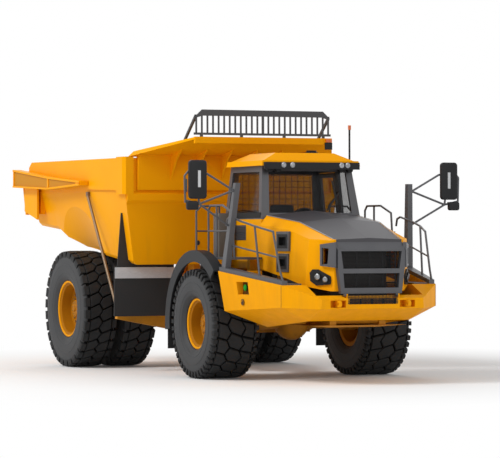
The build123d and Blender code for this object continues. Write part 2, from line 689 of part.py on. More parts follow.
outer_hood = skin([hood_section(s) for s in hood_stations])
nose_section = hood_section((mask_seat_x,) + hood_stations[-1][1:])
outer_hood = outer_hood.fuse(skin([hood_section(hood_stations[-1]), nose_section]))
inner_hood = skin([hood_section(s, hood_wall) for s in hood_stations])
inner_hood = inner_hood.fuse(block((hood_rear_x - 10, mask_back_x), (-900, 900), (1400, 1600)))
corner_sheet = [(-600, 1300), (1200, 1300), (1200, 3000), (-600, 3000)]
for side in (1, -1):
    outer_hood = outer_hood.cut(corner_plate(side, corner_sheet, 0, 900))
    inner_hood = inner_hood.cut(corner_plate(side, corner_sheet, -hood_wall, 900))
shell = outer_hood.cut(inner_hood)
shell = shell.cut(block((mask_back_x - 10, mask_seat_x + 10), (-560, 560), (1500, 2230)))
wing_window = [(95, 2000), (205, 1985), (205, 2262), (75, 2250)]
for side in (1, -1):
    shell = shell.cut(corner_plate(side, wing_window, -80, 100))
top_stations = hood_stations + ((mask_seat_x + 10,) + hood_stations[-1][1:],)
top_zone = skin([[(s[0], s[5] - 4, s[6] - 120), (s[0], s[5] - 4, s[6] + 300), (s[0], -s[5] + 4, s[6] + 300),
                  (s[0], -s[5] + 4, s[6] - 120)] for s in top_stations])
hood_top = shell.intersect(top_zone)
flanks = shell.cut(top_zone)
vents = []
for x0, x1, z0, z1 in ((1000, 1400, 2250, 2490), (1000, 1370, 1900, 2120)):
    hole = block((body_x + x0, body_x + x1), (900, 1100), (z0, z1))
    flanks = flanks.cut(hole).cut(mirror_y(hole))
    frame = block((body_x + x0 + seat_gap, body_x + x1 - seat_gap), (905, 1008),
                  (z0 + seat_gap, z1 - seat_gap)).cut(
        block((body_x + x0 + 60, body_x + x1 - 60), (880, 1100), (z0 + 50, z1 - 50)))
    back = block((body_x + x0 + 40, body_x + x1 - 40), (905, 925), (z0 + 30, z1 - 30))
    vents.append(fuse([frame, back]))
save("hood_vents", [s for v in vents for s in pair(v)])
save("hood_flanks", solids_of(flanks))
save("hood_top", solids_of(hood_top))

mask_low_half = mask_chin_half - 40
mask_wide_half = mask_chin_half + 20
mask_outline = [(-mask_low_half, mask_bottom_z), (mask_low_half, mask_bottom_z),
                (mask_wide_half, mask_shelf_z), (mask_wide_half, mask_top_z + 40),
                (-mask_wide_half, mask_top_z + 40), (-mask_wide_half, mask_shelf_z)]
mask = cross_plate(mask_outline, mask_seat_x + seat_gap, mask_front_x)
mask = mask.cut(side_plate([(mask_front_x - 10, 2225), (mask_seat_x - 40, 2420), (mask_seat_x + 60, 2600),
                            (mask_front_x + 200, 2600), (mask_front_x + 200, 2225)], -1000, 1000))
wing_outline = [(-60, mask_shelf_z), (240, mask_shelf_z + 30), (240, mask_top_z - 25), (-60, mask_top_z + 10)]
for side in (1, -1):
    wing = corner_plate(side, wing_outline, seat_gap, 60)
    mask = mask.fuse(wing.cut(corner_plate(side, wing_window, -80, 100)))
# Openings of the mask: height and half width at the bottom and at the top
mask_openings = ((1918, 520, 2205, 560), (1600, 500, 1840, 520))
for low, low_half, high, high_half in mask_openings:
    opening = cross_plate([(-low_half, low), (low_half, low), (high_half, high), (-high_half, high)],
                          mask_seat_x - 50, mask_front_x + 50)
    mask = mask.cut(opening)
for y in hinge_ys:
    tab = block((hood_hinge_x - 22, hood_hinge_x - 14), (y - 22, y + 18), (hood_hinge_z, mask_bottom_z + 40))
    knuckle = bar((hood_hinge_x, y - 22, hood_hinge_z), (hood_hinge_x, y + 18, hood_hinge_z), 22)
    bore = bar((hood_hinge_x, y - 30, hood_hinge_z), (hood_hinge_x, y + 30, hood_hinge_z),
               hood_pin_radius + pin_clearance)
    mask = mask.fuse(tab, knuckle).cut(bore)
save("hood_mask", mask)
mesh_x = mask_seat_x + 20
grille = []
slat_pitch = 22
slat_height = 8
for low, low_half, high, high_half in mask_openings:
    for z in range(low + 4, high - slat_height, slat_pitch):
        half = low_half + (high_half - low_half) * (z - low) / (high - low) - 2
        grille.append(block((mesh_x, mesh_x + 12), (-half, half), (z, z + slat_height)))
    for y in (-480, -240, 0, 240, 480):
        grille.append(block((mesh_x - 15, mesh_x), (y - 8, y + 8), (low + seat_gap, high - seat_gap)))
save("grilles", solids_of(fuse(grille)))

lamp_depth = 28
# Housing's corners and lamp centres: distance along the corner, height, lamp radius
lamp_outline = [(58, 1690), (75, 1655), (330, 1640), (445, 1715), (455, 1850), (405, 1905), (300, 1905),
                (62, 1790)]
lamp_places = ((150, 1740, 52), (300, 1785, 56))
headlamps = []
for side in (1, -1):
    housing = corner_plate(side, lamp_outline, seat_gap, lamp_depth)
    lenses = [bar(corner_at(side, along, lamp_depth - 12, z), corner_at(side, along, lamp_depth + 22, z),
                  radius)
              for along, z, radius in lamp_places]
    headlamps.append(fuse([housing] + lenses))
save("headlamps", headlamps)

# Engine and radiator core under the hood
engine_half = rail_ys[0] - 10
save("engine", block((body_x + 360, body_x + 1700), (-engine_half, engine_half), (1135 + seat_gap, 2000)))
save("radiator", block((body_x + 1880, body_x + 2050), (-520, 520), (rail_top_z + seat_gap, 2220)))

# Front axle and suspension struts
stub_end_gap = 25
front_stub_end = front_wheel_y + front_tyre_width / 2 * rim_width_share - front_dish - stub_end_gap
front_housing_half = front_wheel_y - 500
front_axle = [bar((front_axle_x, -front_housing_half, front_axle_z),
                  (front_axle_x, front_housing_half, front_axle_z), 115),
              Pos(front_axle_x, 0, front_axle_z) * Sphere(310)]
for side in (1, -1):
    front_axle.append(bar((front_axle_x, side * (front_housing_half - 10), front_axle_z),
                          (front_axle_x, side * front_stub_end, front_axle_z), stub_radius))
for y in (-strut_y, strut_y):
    front_axle.append(block((front_axle_x - 90, front_axle_x + 90), (y - 80, y + 80),
                            (front_axle_z, front_axle_z + 170)))
    front_axle.append(bar((front_axle_x, y, front_axle_z + 160),
                          (front_axle_x, y, strut_seat_z - seat_gap), 62))
save("front_axle", fuse(front_axle))

# Mirrors on posts that stand on the side boxes' beams
def beam_top(x):
    """Top of the beam on the side box at x."""
    return box_edge(x)[1] + beam_height


below_beams = side_plate([(box_rear_x - 100, beam_top(box_rear_x - 100) + seat_gap),
                          (bumper_back_x + 50, beam_top(bumper_back_x + 50) + seat_gap),
                          (bumper_back_x + 50, 1000), (box_rear_x - 100, 1000)], 900, 2300)
post_base_z = 1890
post_top_z = 3356


def post_at(z):
    """Limits in x and in y of the mirror post at height z."""
    t = (z - post_base_z) / (post_top_z - post_base_z)
    low, high = (430, 590, 1690, 1790), (690, 790, 1590, 1680)
    x0, x1, y0, y1 = [a + t * (b - a) for a, b in zip(low, high)]
    return body_x + x0, body_x + x1, y0, y1


post = skin([[(x, y, z) for x, y in ((x0, y0), (x1, y0), (x1, y1), (x0, y1))]
             for z in (post_base_z, post_top_z) for x0, x1, y0, y1 in [post_at(z)]]).cut(below_beams)
save("mirror_posts", pair(post))
mirror_arm_radius = 18
mirror_low = (body_x + 750, 2330, 3000)
high_foot = (body_x + 735, post_at(3230)[3] + 4, 3230)
low_foot = (body_x + 600, post_at(2640)[3] + 4, 2640)
arms = [tube([high_foot, (body_x + 760, 2215, 3520),
              (body_x + 760, 2540, 3540), (body_x + 760, 2600, 3470), (body_x + 760, 2590, 3060),
              mirror_low], mirror_arm_radius),
        tube([high_foot, mirror_low, low_foot], mirror_arm_radius),
        tube([mirror_low, (body_x + 760, 2400, 3530)], mirror_arm_radius)]
clamp_x = (body_x + 742, body_x + 760 + mirror_arm_radius)
arms.append(block(clamp_x, (2560, 2575), (3200, 3420)))
arms.append(block(clamp_x, (2390, 2600), (3020, 3049)))
save("mirror_arms", pair(fuse(arms).cut(post)))
head_back = body_x + 760 + mirror_arm_radius + seat_gap
mirror_heads = [block((head_back, head_back + 70), (2195, 2575), (3085, 3735)),
                block((head_back, head_back + 70), (2375, 2585), (2900, 3050))]
save("mirrors", [s for one in mirror_heads for s in pair(one)])

# Handrails of the front steps and of the walkways over the front wheels
rail_radius = 18
front_rail = fuse([
    tube([(body_x + 285, 1622, 2631), (body_x + 324, 1622, 2753), (body_x + 438, 1622, 2787),
          (body_x + 840, 1622, 2715), (body_x + 1300, 1560, 2625), (body_x + 1740, 1425, 2530),
          (body_x + 1945, 1400, 1890), (body_x + 2040, 1385, beam_top(body_x + 2040) - 20)], rail_radius),
    tube([(post_at(2300)[1] - 10, 1672, 2300), (body_x + 1880, 1413, 2105)], rail_radius * 0.8),
    tube([(body_x + 1300, 1560, 2620), (body_x + 1430, 1530, beam_top(body_x + 1430) - 20)], rail_radius)])
walk_top = walk_z + deck_thickness + seat_gap
walk_rail_top = 2990
walk_rail_y = 1520
walk_end_x = cab_rear_x + 45
below_walk = block((cab_rear_x - 100, box_rear_x), (900, 2300), (1000, walk_top))
walk_rail = fuse([
    tube([(body_x - 720, walk_rail_y, walk_top - 20), (body_x - 720, walk_rail_y, 2910),
          (body_x - 640, walk_rail_y, walk_rail_top), (body_x - 110, walk_rail_y, walk_rail_top),
          (body_x + 290, walk_rail_y, 2858), (body_x + 380, walk_rail_y, walk_top - 20)], rail_radius),
    tube([(body_x - 365, walk_rail_y, walk_rail_top), (body_x - 365, walk_rail_y, walk_top - 20)],
         rail_radius),
    tube([(body_x - 720, walk_rail_y, 2550), (body_x + 325, walk_rail_y, 2550)], rail_radius * 0.8)])
end_rail = fuse([
    tube([(walk_end_x, walk_rail_y, walk_top - 20), (walk_end_x, walk_rail_y, 2900),
          (walk_end_x, walk_rail_y - 90, walk_rail_top), (walk_end_x, 1080, walk_rail_top),
          (walk_end_x, 1080, walk_top - 20)], rail_radius),
    tube([(walk_end_x, walk_rail_y, 2550), (walk_end_x, 1080, 2550)], rail_radius * 0.8)])
save("handrails", pair(front_rail.cut(below_beams, post)), pair(walk_rail.cut(below_walk)),
     pair(end_rail.cut(below_walk)))

# Articulation yoke: upright boss on the pivot pin, bearing ring for the rear frame
ring_x = (pivot_x - 520, pivot_x - 190)
ring_radius = 215
spigot_radius = 120
yoke_half = jaw_opening / 2 - pin_clearance
yoke = fuse([Pos(pivot_x, 0, pivot_z) * Cylinder(jaw_radius - 10, 2 * yoke_half),
             block((ring_x[1] - 20, pivot_x), (-130, 130), (pivot_z - 150, pivot_z + 150)),
             bar((ring_x[0], 0, pivot_z), (ring_x[1], 0, pivot_z), ring_radius),
             block((steer_rear_x - 60, steer_rear_x + 60), (-steer_rear_y, steer_rear_y),
                   (pivot_z + steer_lug_z, pivot_z + steer_lug_z + 40)),
             block((steer_rear_x - 60, steer_rear_x + 60), (-steer_rear_y, steer_rear_y),
                   (pivot_z - steer_lug_z - 40, pivot_z - steer_lug_z))]
            + [Pos(steer_rear_x, y, pivot_z + z) * Cylinder(60, 40) for y in (-steer_rear_y, steer_rear_y)
               for z in (steer_lug_z + 20, -steer_lug_z - 20)])
yoke = yoke.cut(Pos(pivot_x, 0, pivot_z) * Cylinder(pivot_pin_radius + pin_clearance, 800))
yoke = yoke.cut(bar((ring_x[0] - 10, 0, pivot_z), (ring_x[1] - 60, 0, pivot_z),
                    spigot_radius + pin_clearance))
save("articulation_yoke", yoke)

# Steering cylinders between the front frame and the yoke
def cylinder_pair(front, rear, barrel_length, rod_start, radius, rod_radius, eye_radius, pin_radius, eye_gap,
                  eye_axis):
    """Barrel from its eye at front, and rod from its eye and pin at rear, on one line."""
    a, b = Vector(*front), Vector(*rear)
    way = (b - a).normalized()
    eye_a = Plane(origin=a, z_dir=eye_axis) * Cylinder(eye_radius, 60)
    eye_b = Plane(origin=b, z_dir=eye_axis) * Cylinder(eye_radius, 60)
    start, end = a + way * (eye_radius - 12), a + way * barrel_length
    barrel = fuse([bar(start, end, radius), eye_a])
    barrel = barrel.cut(bar(a + way * (eye_radius + 60), end + way, rod_radius + pin_clearance))
    barrel = barrel.cut(Plane(origin=a, z_dir=eye_axis) * Cylinder(pin_radius + pin_clearance, 200))
    pin = Plane(origin=b, z_dir=eye_axis) * Cylinder(pin_radius, eye_gap - 2 * running_gap)
    rod = fuse([bar(a + way * rod_start, b - way * (eye_radius - 12), rod_radius), eye_b, pin])
    return barrel, rod


for side, name in ((1, "left"), (-1, "right")):
    barrel, rod = cylinder_pair((steer_front_x, side * steer_front_y, pivot_z),
                                (steer_rear_x, side * steer_rear_y, pivot_z), steer_barrel_length,
                                steer_rod_start, 58, 34, 52, steer_pin_radius, 2 * steer_lug_z, (0, 0, 1))
    save(f"steering_barrel_{name}", barrel)
    save(f"steering_rod_{name}", rod)

# Rear frame: nose spigot, two side plates, outriggers, bed hinge and rest pads
nose_x = ring_x[0] - running_gap
rear_rail_ys = (340, 460)
rear_side = side_plate([(nose_x, pivot_z - 250), (nose_x, pivot_z + 250), (nose_x - 700, 1520),
                        (bed_x + 500, 1640), (bed_x - 600, 1640), (tip_x + 60, tip_z + 120),
                        (tip_x - 100, tip_z + 100), (tip_x - 120, tip_z - 120), (rear_axle_x - 700, 1360),
                        (rear_axle_x + 420, 1360), (rear_axle_x + 800, 900), (nose_x - 600, 800)],
                       *rear_rail_ys)
rear_parts = pair(rear_side)
rear_parts.append(block((nose_x - 160, nose_x), (-rear_rail_ys[1], rear_rail_ys[1]),
                        (pivot_z - 250, pivot_z + 250)))
rear_parts.append(bar((nose_x - 100, 0, pivot_z), (ring_x[1] - 70, 0, pivot_z), spigot_radius))
for x, z in ((bed_x + 1500, 1200), (bed_x + 600, 1500), (bed_x - 600, 1500)):
    rear_parts.append(bar((x, -rear_rail_ys[0] - 20, z), (x, rear_rail_ys[0] + 20, z), 80))
rear_parts.append(bar((tip_x, -700, tip_z), (tip_x, 700, tip_z), 55))
for side in (1, -1):
    rear_parts.append(bar((hoist_low_x, side * rear_rail_ys[0], hoist_low_z),
                          (hoist_low_x, side * (hoist_y + 60), hoist_low_z), hoist_pin_radius))
for side in (1, -1):
    ends = ((120, rear_rail_ys[0], 620, 1080), (60, 2100, 960, 1040))
    rear_parts.append(skin([[(outrigger_x + x, side * y, z)
                             for x, z in ((-half, low), (half, low), (half, high), (-half, high))]
                            for half, y, low, high in ends]))


bin_profile = ((bin_front_x, bin_front_floor_z), (bin_bend_x, bin_bend_floor_z),
               (bin_chute_x, bin_chute_floor_z), (bin_rear_x, bin_rear_floor_z))


def bin_under(x):
    """Underside of the bed floor at x."""
    for (x0, z0), (x1, z1) in zip(bin_profile, bin_profile[1:]):
        if x >= x1:
            break
    return z0 + (x0 - x) / (x0 - x1) * (z1 - z0)


pad_x = bed_x + 1250
for y in (-400, 400):
    pad = side_plate([(pad_x - 150, 1500), (pad_x + 150, 1450),
                      (pad_x + 150, bin_under(pad_x + 150) - seat_gap),
                      (pad_x - 150, bin_under(pad_x - 150) - seat_gap)], y - 60, y + 60)
    rear_parts.append(pad)
axle_seat_z = rear_axle_z + 190
for y in (-400, 400):
    rear_parts.append(block((rear_axle_x - 150, rear_axle_x + 150), (y - 60, y + 60),
                            (axle_seat_z + seat_gap, 1400)))
save("rear_frame", fuse(rear_parts))

# Rear axle with its stubs, under rubber springs
rear_stub_end = rear_wheel_ys[1] + rear_tyre_width / 2 * rim_width_share - rear_dish - stub_end_gap
rear_housing_half = rear_wheel_ys[0] - 380
rear_axle = [bar((rear_axle_x, -rear_housing_half, rear_axle_z),
                 (rear_axle_x, rear_housing_half, rear_axle_z), 185),
             Pos(rear_axle_x, 0, rear_axle_z) * Sphere(290),
             bar((rear_axle_x, -rear_stub_end, rear_axle_z), (rear_axle_x, rear_stub_end, rear_axle_z),
                 stub_radius)]
for y in (-400, 400):
    rear_axle.append(block((rear_axle_x - 130, rear_axle_x + 130), (y - 110, y + 110),
                           (rear_axle_z, axle_seat_z)))
rear_axle.append(side_plate([(rear_axle_x + 100, rear_axle_z - 60), (rear_axle_x + 100, rear_axle_z + 60),
                             (nose_x - 420, 1000), (nose_x - 420, 900)], -90, 90))
save("rear_axle", fuse(rear_axle))

# Hoist cylinders
for side, name in ((1, "left"), (-1, "right")):
    barrel, rod = cylinder_pair((hoist_low_x, side * hoist_y, hoist_low_z),
                                (hoist_high_x, side * hoist_y, hoist_high_z), hoist_barrel_length,
                                hoist_rod_start, hoist_radius, hoist_rod_radius, 95, hoist_pin_radius,
                                2 * hoist_lug_y, (0, 1, 0))
    save(f"hoist_barrel_{name}", barrel)
    save(f"hoist_rod_{name}", rod)

# Bin: open body with sloped sides, boxed top rails and wheel hollows
bin_stations = [(x, z, bin_half_low) for x, z in bin_profile]


def bin_section(station, wall, lift, top_z):
    """Closed section of the bed at one station, drawn in by the wall."""
    x, floor_z, low_y = station
    floor = floor_z + lift
    chine = floor + bin_chine * (1 if not wall else 0.9)
    half = [(low_y - bin_chamfer - wall * 0.5, floor), (low_y - wall, chine),
            (bin_half_top - wall, rail_low_z), (bin_half_top - wall, top_z)]
    return [(x, y, z) for y, z in half] + [(x, -y, z) for y, z in reversed(half)]


outer_bin = skin([bin_section(s, 0, 0, rail_high_z) for s in bin_stations])
inner_stations = [(bin_front_x - bin_wall,) + bin_stations[0][1:], bin_stations[1], bin_stations[2],
                  (bin_rear_x - 40,) + bin_stations[3][1:]]
inner_bin = skin([bin_section(s, bin_wall, bin_wall, rail_high_z + 50) for s in inner_stations])
hollows, bulges = [], []
hollow_width = hollow_outer_y - hollow_inner_y
for side in (1, -1):
    for cones, y in ((hollows, hollow_inner_y), (bulges, hollow_inner_y - bin_wall)):
        base = Plane(origin=(rear_axle_x, side * y, rear_axle_z), z_dir=(0, side, 0))
        cones.append(Solid.make_cone(hollow_inner_radius, hollow_outer_radius, hollow_width, base))
bin_body = outer_bin.cut(inner_bin.cut(*bulges)).cut(*hollows)
rail = side_plate([(bin_front_x, rail_low_z), (bin_front_x, rail_high_z),
                   (bin_rear_x + 150, rail_high_z + 30), (bin_rear_x, rail_high_z - 70),
                   (bin_rear_x, rail_low_z + 130)], rail_inner_y, rail_outer_y)
front_post = floor_plate([(bin_front_x + 60, 1980), (bin_front_x + 60, 2130),
                          (bin_front_x, rail_outer_y + 8), (bin_front_x - 290, rail_outer_y + 8),
                          (bin_front_x - 290, 2100), (bin_front_x, 2050)],
                         rail_low_z - 70, rail_high_z + 20)
rear_post = block((bin_rear_x + 420, bin_rear_x + 560), (2040, bin_half_top + 10), (2900, rail_low_z + 50))
band = side_plate([(bin_front_x - 10, 3050), (bin_front_x + 60, 3110), (bin_front_x + 60, 3230),
                   (bin_front_x - 10, 3290)], -2100, 2100)
in_floor = bin_wall / 2
tip_bracket = side_plate([(tip_x - 110, tip_z - 70), (tip_x + 110, tip_z - 70)]
                         + [(x, bin_under(x) + in_floor) for x in (tip_x + 330, tip_x - 330)], 500, 620)
tip_bracket = tip_bracket.cut(bar((tip_x, 450, tip_z), (tip_x, 700, tip_z), 55 + pin_clearance))
hoist_lugs = []
for y in (hoist_y - hoist_lug_y - 30, hoist_y + hoist_lug_y):
    lug = side_plate([(hoist_high_x - 90, hoist_high_z - 80), (hoist_high_x + 90, hoist_high_z - 80),
                      (hoist_high_x + 180, bin_under(hoist_high_x + 180) + in_floor),
                      (hoist_high_x - 180, bin_under(hoist_high_x - 180) + in_floor)], y, y + 30)
    hoist_lugs.append(lug)
bin_parts = [bin_body, band]
for piece in [rail, front_post, rear_post, tip_bracket] + hoist_lugs:
    bin_parts += pair(piece)
bin_all = fuse(bin_parts)
plug_z = 2340
bin_all = bin_all.cut(*[bar((bin_front_x + 100, y, plug_z), (bin_front_x - 30, y, plug_z), 45)
                        for y in (-700, 700)])
save("bin_body", bin_all)

# Canopy over the cab: sloped plate, side wings, lip beam and curved ribs
canopy = skin([[(bin_front_x + seat_gap - 40, y, z) for y, z in
                ((2050, rail_high_z + 20 + seat_gap), (-2050, rail_high_z + 20 + seat_gap),
                 (-1940, canopy_back_z + 40), (1940, canopy_back_z + 40))],
               [(lip_x, y, z) for y, z in
                ((lip_half, lip_z - canopy_plate), (-lip_half, lip_z - canopy_plate),
                 (-lip_half, lip_z), (lip_half, lip_z))]])
lip = block((lip_x - 60, lip_x + 10), (-lip_half, lip_half), (lip_z - 110, lip_z + 5))
upper_wall = side_plate([(bin_front_x + seat_gap, 3300), (bin_front_x + 55, 3300), (bin_front_x + 120, 3930),
                         (bin_front_x + seat_gap, 3930)], -1900, 1900)
ribs = []
for y in (-1250, -750, -250, 250, 750, 1250):
    start = (bin_front_x + 50, y - 15, 3420)
    end = (lip_x - 40, y - 15, lip_z - 60)
    under = ThreePointArc(start, (bin_front_x + 430, y - 15, 3910), end)
    over = Polyline(end, (lip_x - 40, y - 15, lip_z - 20), (bin_front_x + 50, y - 15, 3960), start)
    face = make_face(Wire([under.edge()] + list(over.edges()))).face()
    ribs.append(Solid.extrude(face, Vector(0, 30, 0)))
save("canopy", fuse([canopy, lip, upper_wall] + ribs))

# Rock guard: grating that stands on the canopy lip
guard_x = (lip_x - 65, lip_x - 35)
legs_z = lip_z + 5 + seat_gap
guard = [block(guard_x, (-lip_half, lip_half), (guard_bottom_z - 30, guard_bottom_z + 10)),
         cross_plate([(-1330, guard_top_z - 130), (-1190, guard_top_z), (1190, guard_top_z),
                      (1330, guard_top_z - 130), (1310, guard_top_z - 150), (1180, guard_top_z - 110),
                      (-1180, guard_top_z - 110), (-1310, guard_top_z - 150)], *guard_x)]
for k in range(25):
    y = -1300 + k * 2600 / 24
    top = guard_top_z - 60 if abs(y) < 1200 else guard_top_z - 130
    wide = 22 if k == 12 else 15
    guard.append(block((guard_x[0] + 5, guard_x[1] - 5), (y - wide, y + wide), (guard_bottom_z - 10, top)))
for y in (-1200, -420, 420, 1200):
    guard.append(block(guard_x, (y - 25, y + 25), (legs_z, guard_bottom_z)))
foot_x = lip_x - 560
foot_t = (lip_x - foot_x) / (lip_x - bin_front_x + 40 - seat_gap)
foot_z = lip_z + foot_t * (canopy_back_z + 40 - lip_z)
brace_ends = ((guard_x[0] + 10, guard_top_z - 150, guard_top_z - 90), (foot_x, foot_z + 3, foot_z + 60))
for side in (1, -1):
    guard.append(skin([[(x, side * y, z) for y, z in ((1290, low), (1290, high), (1330, high), (1330, low))]
                       for x, low, high in brace_ends]))
save("rock_guard", fuse(guard))

# Rubber mud guards behind the front wheels, hung from the bed with their strips and stays
panel_x = bin_front_x - 250
panel_back = (panel_x - 25, panel_x)
panel_top_z = 2886
panel_half = max(bin_half_top, bin_half_low) + 105
panel_floor_z = bin_under(panel_x)


def bin_side_y(z):
    """Outer face of the bed's side at height z, above the chine, at the mud panels."""
    t = (z - panel_floor_z - bin_chine) / (rail_low_z - panel_floor_z - bin_chine)
    return bin_half_low + t * (bin_half_top - bin_half_low)


panels, strips, stays = [], [], []
for side in (1, -1):
    sheet = cross_plate([(side * y, z) for y, z in
                         ((1200, 1010), (panel_half, 1010), (panel_half, 1910), (panel_half - 60, 1925),
                          (bin_side_y(panel_top_z) + 25, panel_top_z),
                          (bin_side_y(panel_top_z) + seat_gap, panel_top_z),
                          (bin_half_low + seat_gap, panel_floor_z + bin_chine),
                          (bin_half_low - bin_chamfer + seat_gap, panel_floor_z - seat_gap),
                          (1200, panel_floor_z - seat_gap))], *panel_back)
    panels.append(sheet)
    strips.append(block((panel_x + seat_gap, panel_x + 12), (side * 1210, side * (panel_half - 10)),
                        (1700, 1900)))
save("mud_panels", panels)
save("mud_panel_strips", strips)
stay_y = max(bin_half_top, bin_half_low) + 32
for side in (1, -1):
    stay = bar((gate_x - 30, side * stay_y, rail_low_z - 50), (panel_back[0] - 45, side * stay_y, 1165), 27)
    foot = block((panel_back[0] - 75, panel_back[0] - seat_gap), (side * (stay_y - 42), side * (stay_y + 43)),
                 (1120, 1210))
    head = block((gate_x - 80, gate_x + 20), (side * (stay_y - 26), side * (stay_y + 12)),
                 (rail_low_z - 80, rail_low_z - seat_gap))
    stays.append(fuse([stay, foot, head]))
save("panel_stays", stays)

# Tailgate: long boxed arms outside the rails, wing plates, rear wall and cross beam
arm_side = side_plate([(gate_x + 70, gate_z - 40), (gate_x + 70, gate_z + 40), (gate_x - 1650, gate_z + 150),
                       (arm_rear_x, gate_z + 330), (arm_rear_x, gate_z - 20), (gate_x - 1650, gate_z - 90)],
                      arm_inner_y, arm_outer_y)
wing = side_plate([(bin_rear_x + 600, gate_z + 20), (bin_rear_x - 90, gate_z), (bin_rear_x - 110, 2960),
                   (bin_rear_x + 600, 2790)], arm_inner_y, arm_inner_y + 40)
wall = side_plate([(bin_rear_x - 60, 2890), (bin_rear_x - 110, 2890), (bin_rear_x - 330, 3700),
                   (bin_rear_x - 270, 3700)], -arm_inner_y - 20, arm_inner_y + 20)
beam = block((arm_rear_x, arm_rear_x + 190), (-arm_outer_y, arm_outer_y), (gate_z + 20, gate_z + 300))
pin = bar((gate_x, rail_outer_y + seat_gap, gate_z), (gate_x, arm_outer_y + 12, gate_z), 35)
save("tailgate", fuse(pair(arm_side) + pair(wing) + [wall, beam] + pair(pin)))
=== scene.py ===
import bmesh
import bpy
from math import asin, cos, pi, radians, sin
from mathutils import Matrix, Vector


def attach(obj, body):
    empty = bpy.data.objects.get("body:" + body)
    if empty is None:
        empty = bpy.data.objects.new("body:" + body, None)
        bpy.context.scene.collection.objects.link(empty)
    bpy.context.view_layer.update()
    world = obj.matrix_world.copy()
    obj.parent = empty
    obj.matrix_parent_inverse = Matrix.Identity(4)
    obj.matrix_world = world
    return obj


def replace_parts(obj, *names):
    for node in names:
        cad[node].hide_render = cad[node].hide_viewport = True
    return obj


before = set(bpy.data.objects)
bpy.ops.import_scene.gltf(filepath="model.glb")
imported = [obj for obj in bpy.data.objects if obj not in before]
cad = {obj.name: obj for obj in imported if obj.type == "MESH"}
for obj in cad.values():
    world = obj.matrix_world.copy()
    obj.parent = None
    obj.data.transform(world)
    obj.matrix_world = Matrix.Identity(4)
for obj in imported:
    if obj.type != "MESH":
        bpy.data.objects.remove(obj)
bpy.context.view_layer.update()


# Front and rear frame, axles and yoke: plates and castings welded up, sprayed in the machine's
# yellow and then brown with road dirt, most of all underneath.
class Amount:
    """A number that changes over a surface; sums and products of it add Math nodes."""

    def __init__(self, finish, socket):
        self.finish = finish
        self.socket = socket

    def maths(self, operation, first, second, clamp=False):
        made = self.finish.node("ShaderNodeMath", {"operation": operation, "use_clamp": clamp},
                                {0: first, 1: second})
        return Amount(self.finish, made.outputs[0])

    def __add__(self, other):
        return self.maths("ADD", self, other)

    def __radd__(self, other):
        return self.maths("ADD", other, self)

    def __sub__(self, other):
        return self.maths("SUBTRACT", self, other)

    def __rsub__(self, other):
        return self.maths("SUBTRACT", other, self)

    def __mul__(self, other):
        return self.maths("MULTIPLY", self, other)

    def __rmul__(self, other):
        return self.maths("MULTIPLY", other, self)

    def kept_in(self):
        """The same number, held between 0 and 1."""
        return self.maths("ADD", self, 0.0, clamp=True)


class Finish:
    """A material with one principled shader, built up by its nodes."""

    def __init__(self, name, colour, roughness, metallic=0.0, coat=0.0, shine=0.5):
        self.material = bpy.data.materials.new(name)
        self.material.use_nodes = True
        self.tree = self.material.node_tree
        self.shader = self.tree.nodes["Principled BSDF"]
        self.material.diffuse_color = (*colour, 1.0)
        for socket, value in (("Base Color", (*colour, 1.0)), ("Roughness", roughness), ("Metallic", metallic),
                              ("Coat Weight", coat), ("Coat Roughness", 0.12), ("Specular IOR Level", shine)):
            self.shader.inputs[socket].default_value = value

    def node(self, kind, settings, values):
        """A node of any kind: its settings first, then the values or links of its sockets."""
        made = self.tree.nodes.new(kind)
        for name, value in settings.items():
            setattr(made, name, value)
        for name, value in values.items():
            self.feed(made.inputs[name], value)
        return made

    def feed(self, socket, value):
        """Give a socket a number, a colour or a link."""
        if isinstance(value, Amount):
            self.tree.links.new(value.socket, socket)
        elif isinstance(value, bpy.types.NodeSocket):
            self.tree.links.new(value, socket)
        else:
            socket.default_value = value

    def place(self):
        return self.node("ShaderNodeTexCoord", {}, {}).outputs["Object"]

    def height(self):
        """Height over the ground, in metres."""
        return Amount(self, self.node("ShaderNodeSeparateXYZ", {}, {0: self.place()}).outputs[2])

    def noise(self, scale, detail=4.0, rough=0.5, stretch=(1.0, 1.0, 1.0)):
        spread = self.node("ShaderNodeVectorMath", {"operation": "MULTIPLY"}, {0: self.place(), 1: stretch})
        made = self.node("ShaderNodeTexNoise", {}, {"Vector": spread.outputs[0], "Scale": scale, "Detail": detail,
                                                    "Roughness": rough})
        return Amount(self, made.outputs["Fac"])

    def mixed(self, amount, first, second):
        """Colour that goes from first to second with the amount; either may be a colour or a link."""
        ends = [(*end, 1.0) if isinstance(end, tuple) else end for end in (first, second)]
        return self.node("ShaderNodeMix", {"data_type": "RGBA"}, {0: amount, 6: ends[0], 7: ends[1]}).outputs[2]

    def colour(self, link):
        self.feed(self.shader.inputs["Base Color"], link)

    def roughen(self, amount):
        self.feed(self.shader.inputs["Roughness"], amount)

    def relief(self, height, strength, distance):
        """Small relief of the surface from a height."""
        made = self.node("ShaderNodeBump", {}, {"Strength": strength, "Distance": distance, "Height": height})
        self.feed(self.shader.inputs["Normal"], made.outputs[0])

    def wear(self, names):
        """Put this finish on CAD nodes."""
        for name in names:
            if cad[name].material_slots:
                for slot in cad[name].material_slots:
                    slot.material = self.material
            else:
                cad[name].data.materials.append(self.material)


dirty_yellow = (0.66, 0.27, 0.008)
chassis = Finish("chassis_paint", dirty_yellow, 0.6, shine=0.2)
splash = (1.0 - 0.75 * chassis.height() + 1.1 * (chassis.noise(2.6, 6.0, 0.6) - 0.5)).kept_in()
chassis.colour(chassis.mixed(splash, dirty_yellow, (0.105, 0.06, 0.028)))
chassis.roughen(0.5 + 0.3 * splash)
chassis.relief(chassis.noise(70.0, 3.0), 0.25, 0.001)
chassis.wear(["front_frame", "front_axle", "articulation_yoke", "rear_frame", "rear_axle", "belly_guard"])


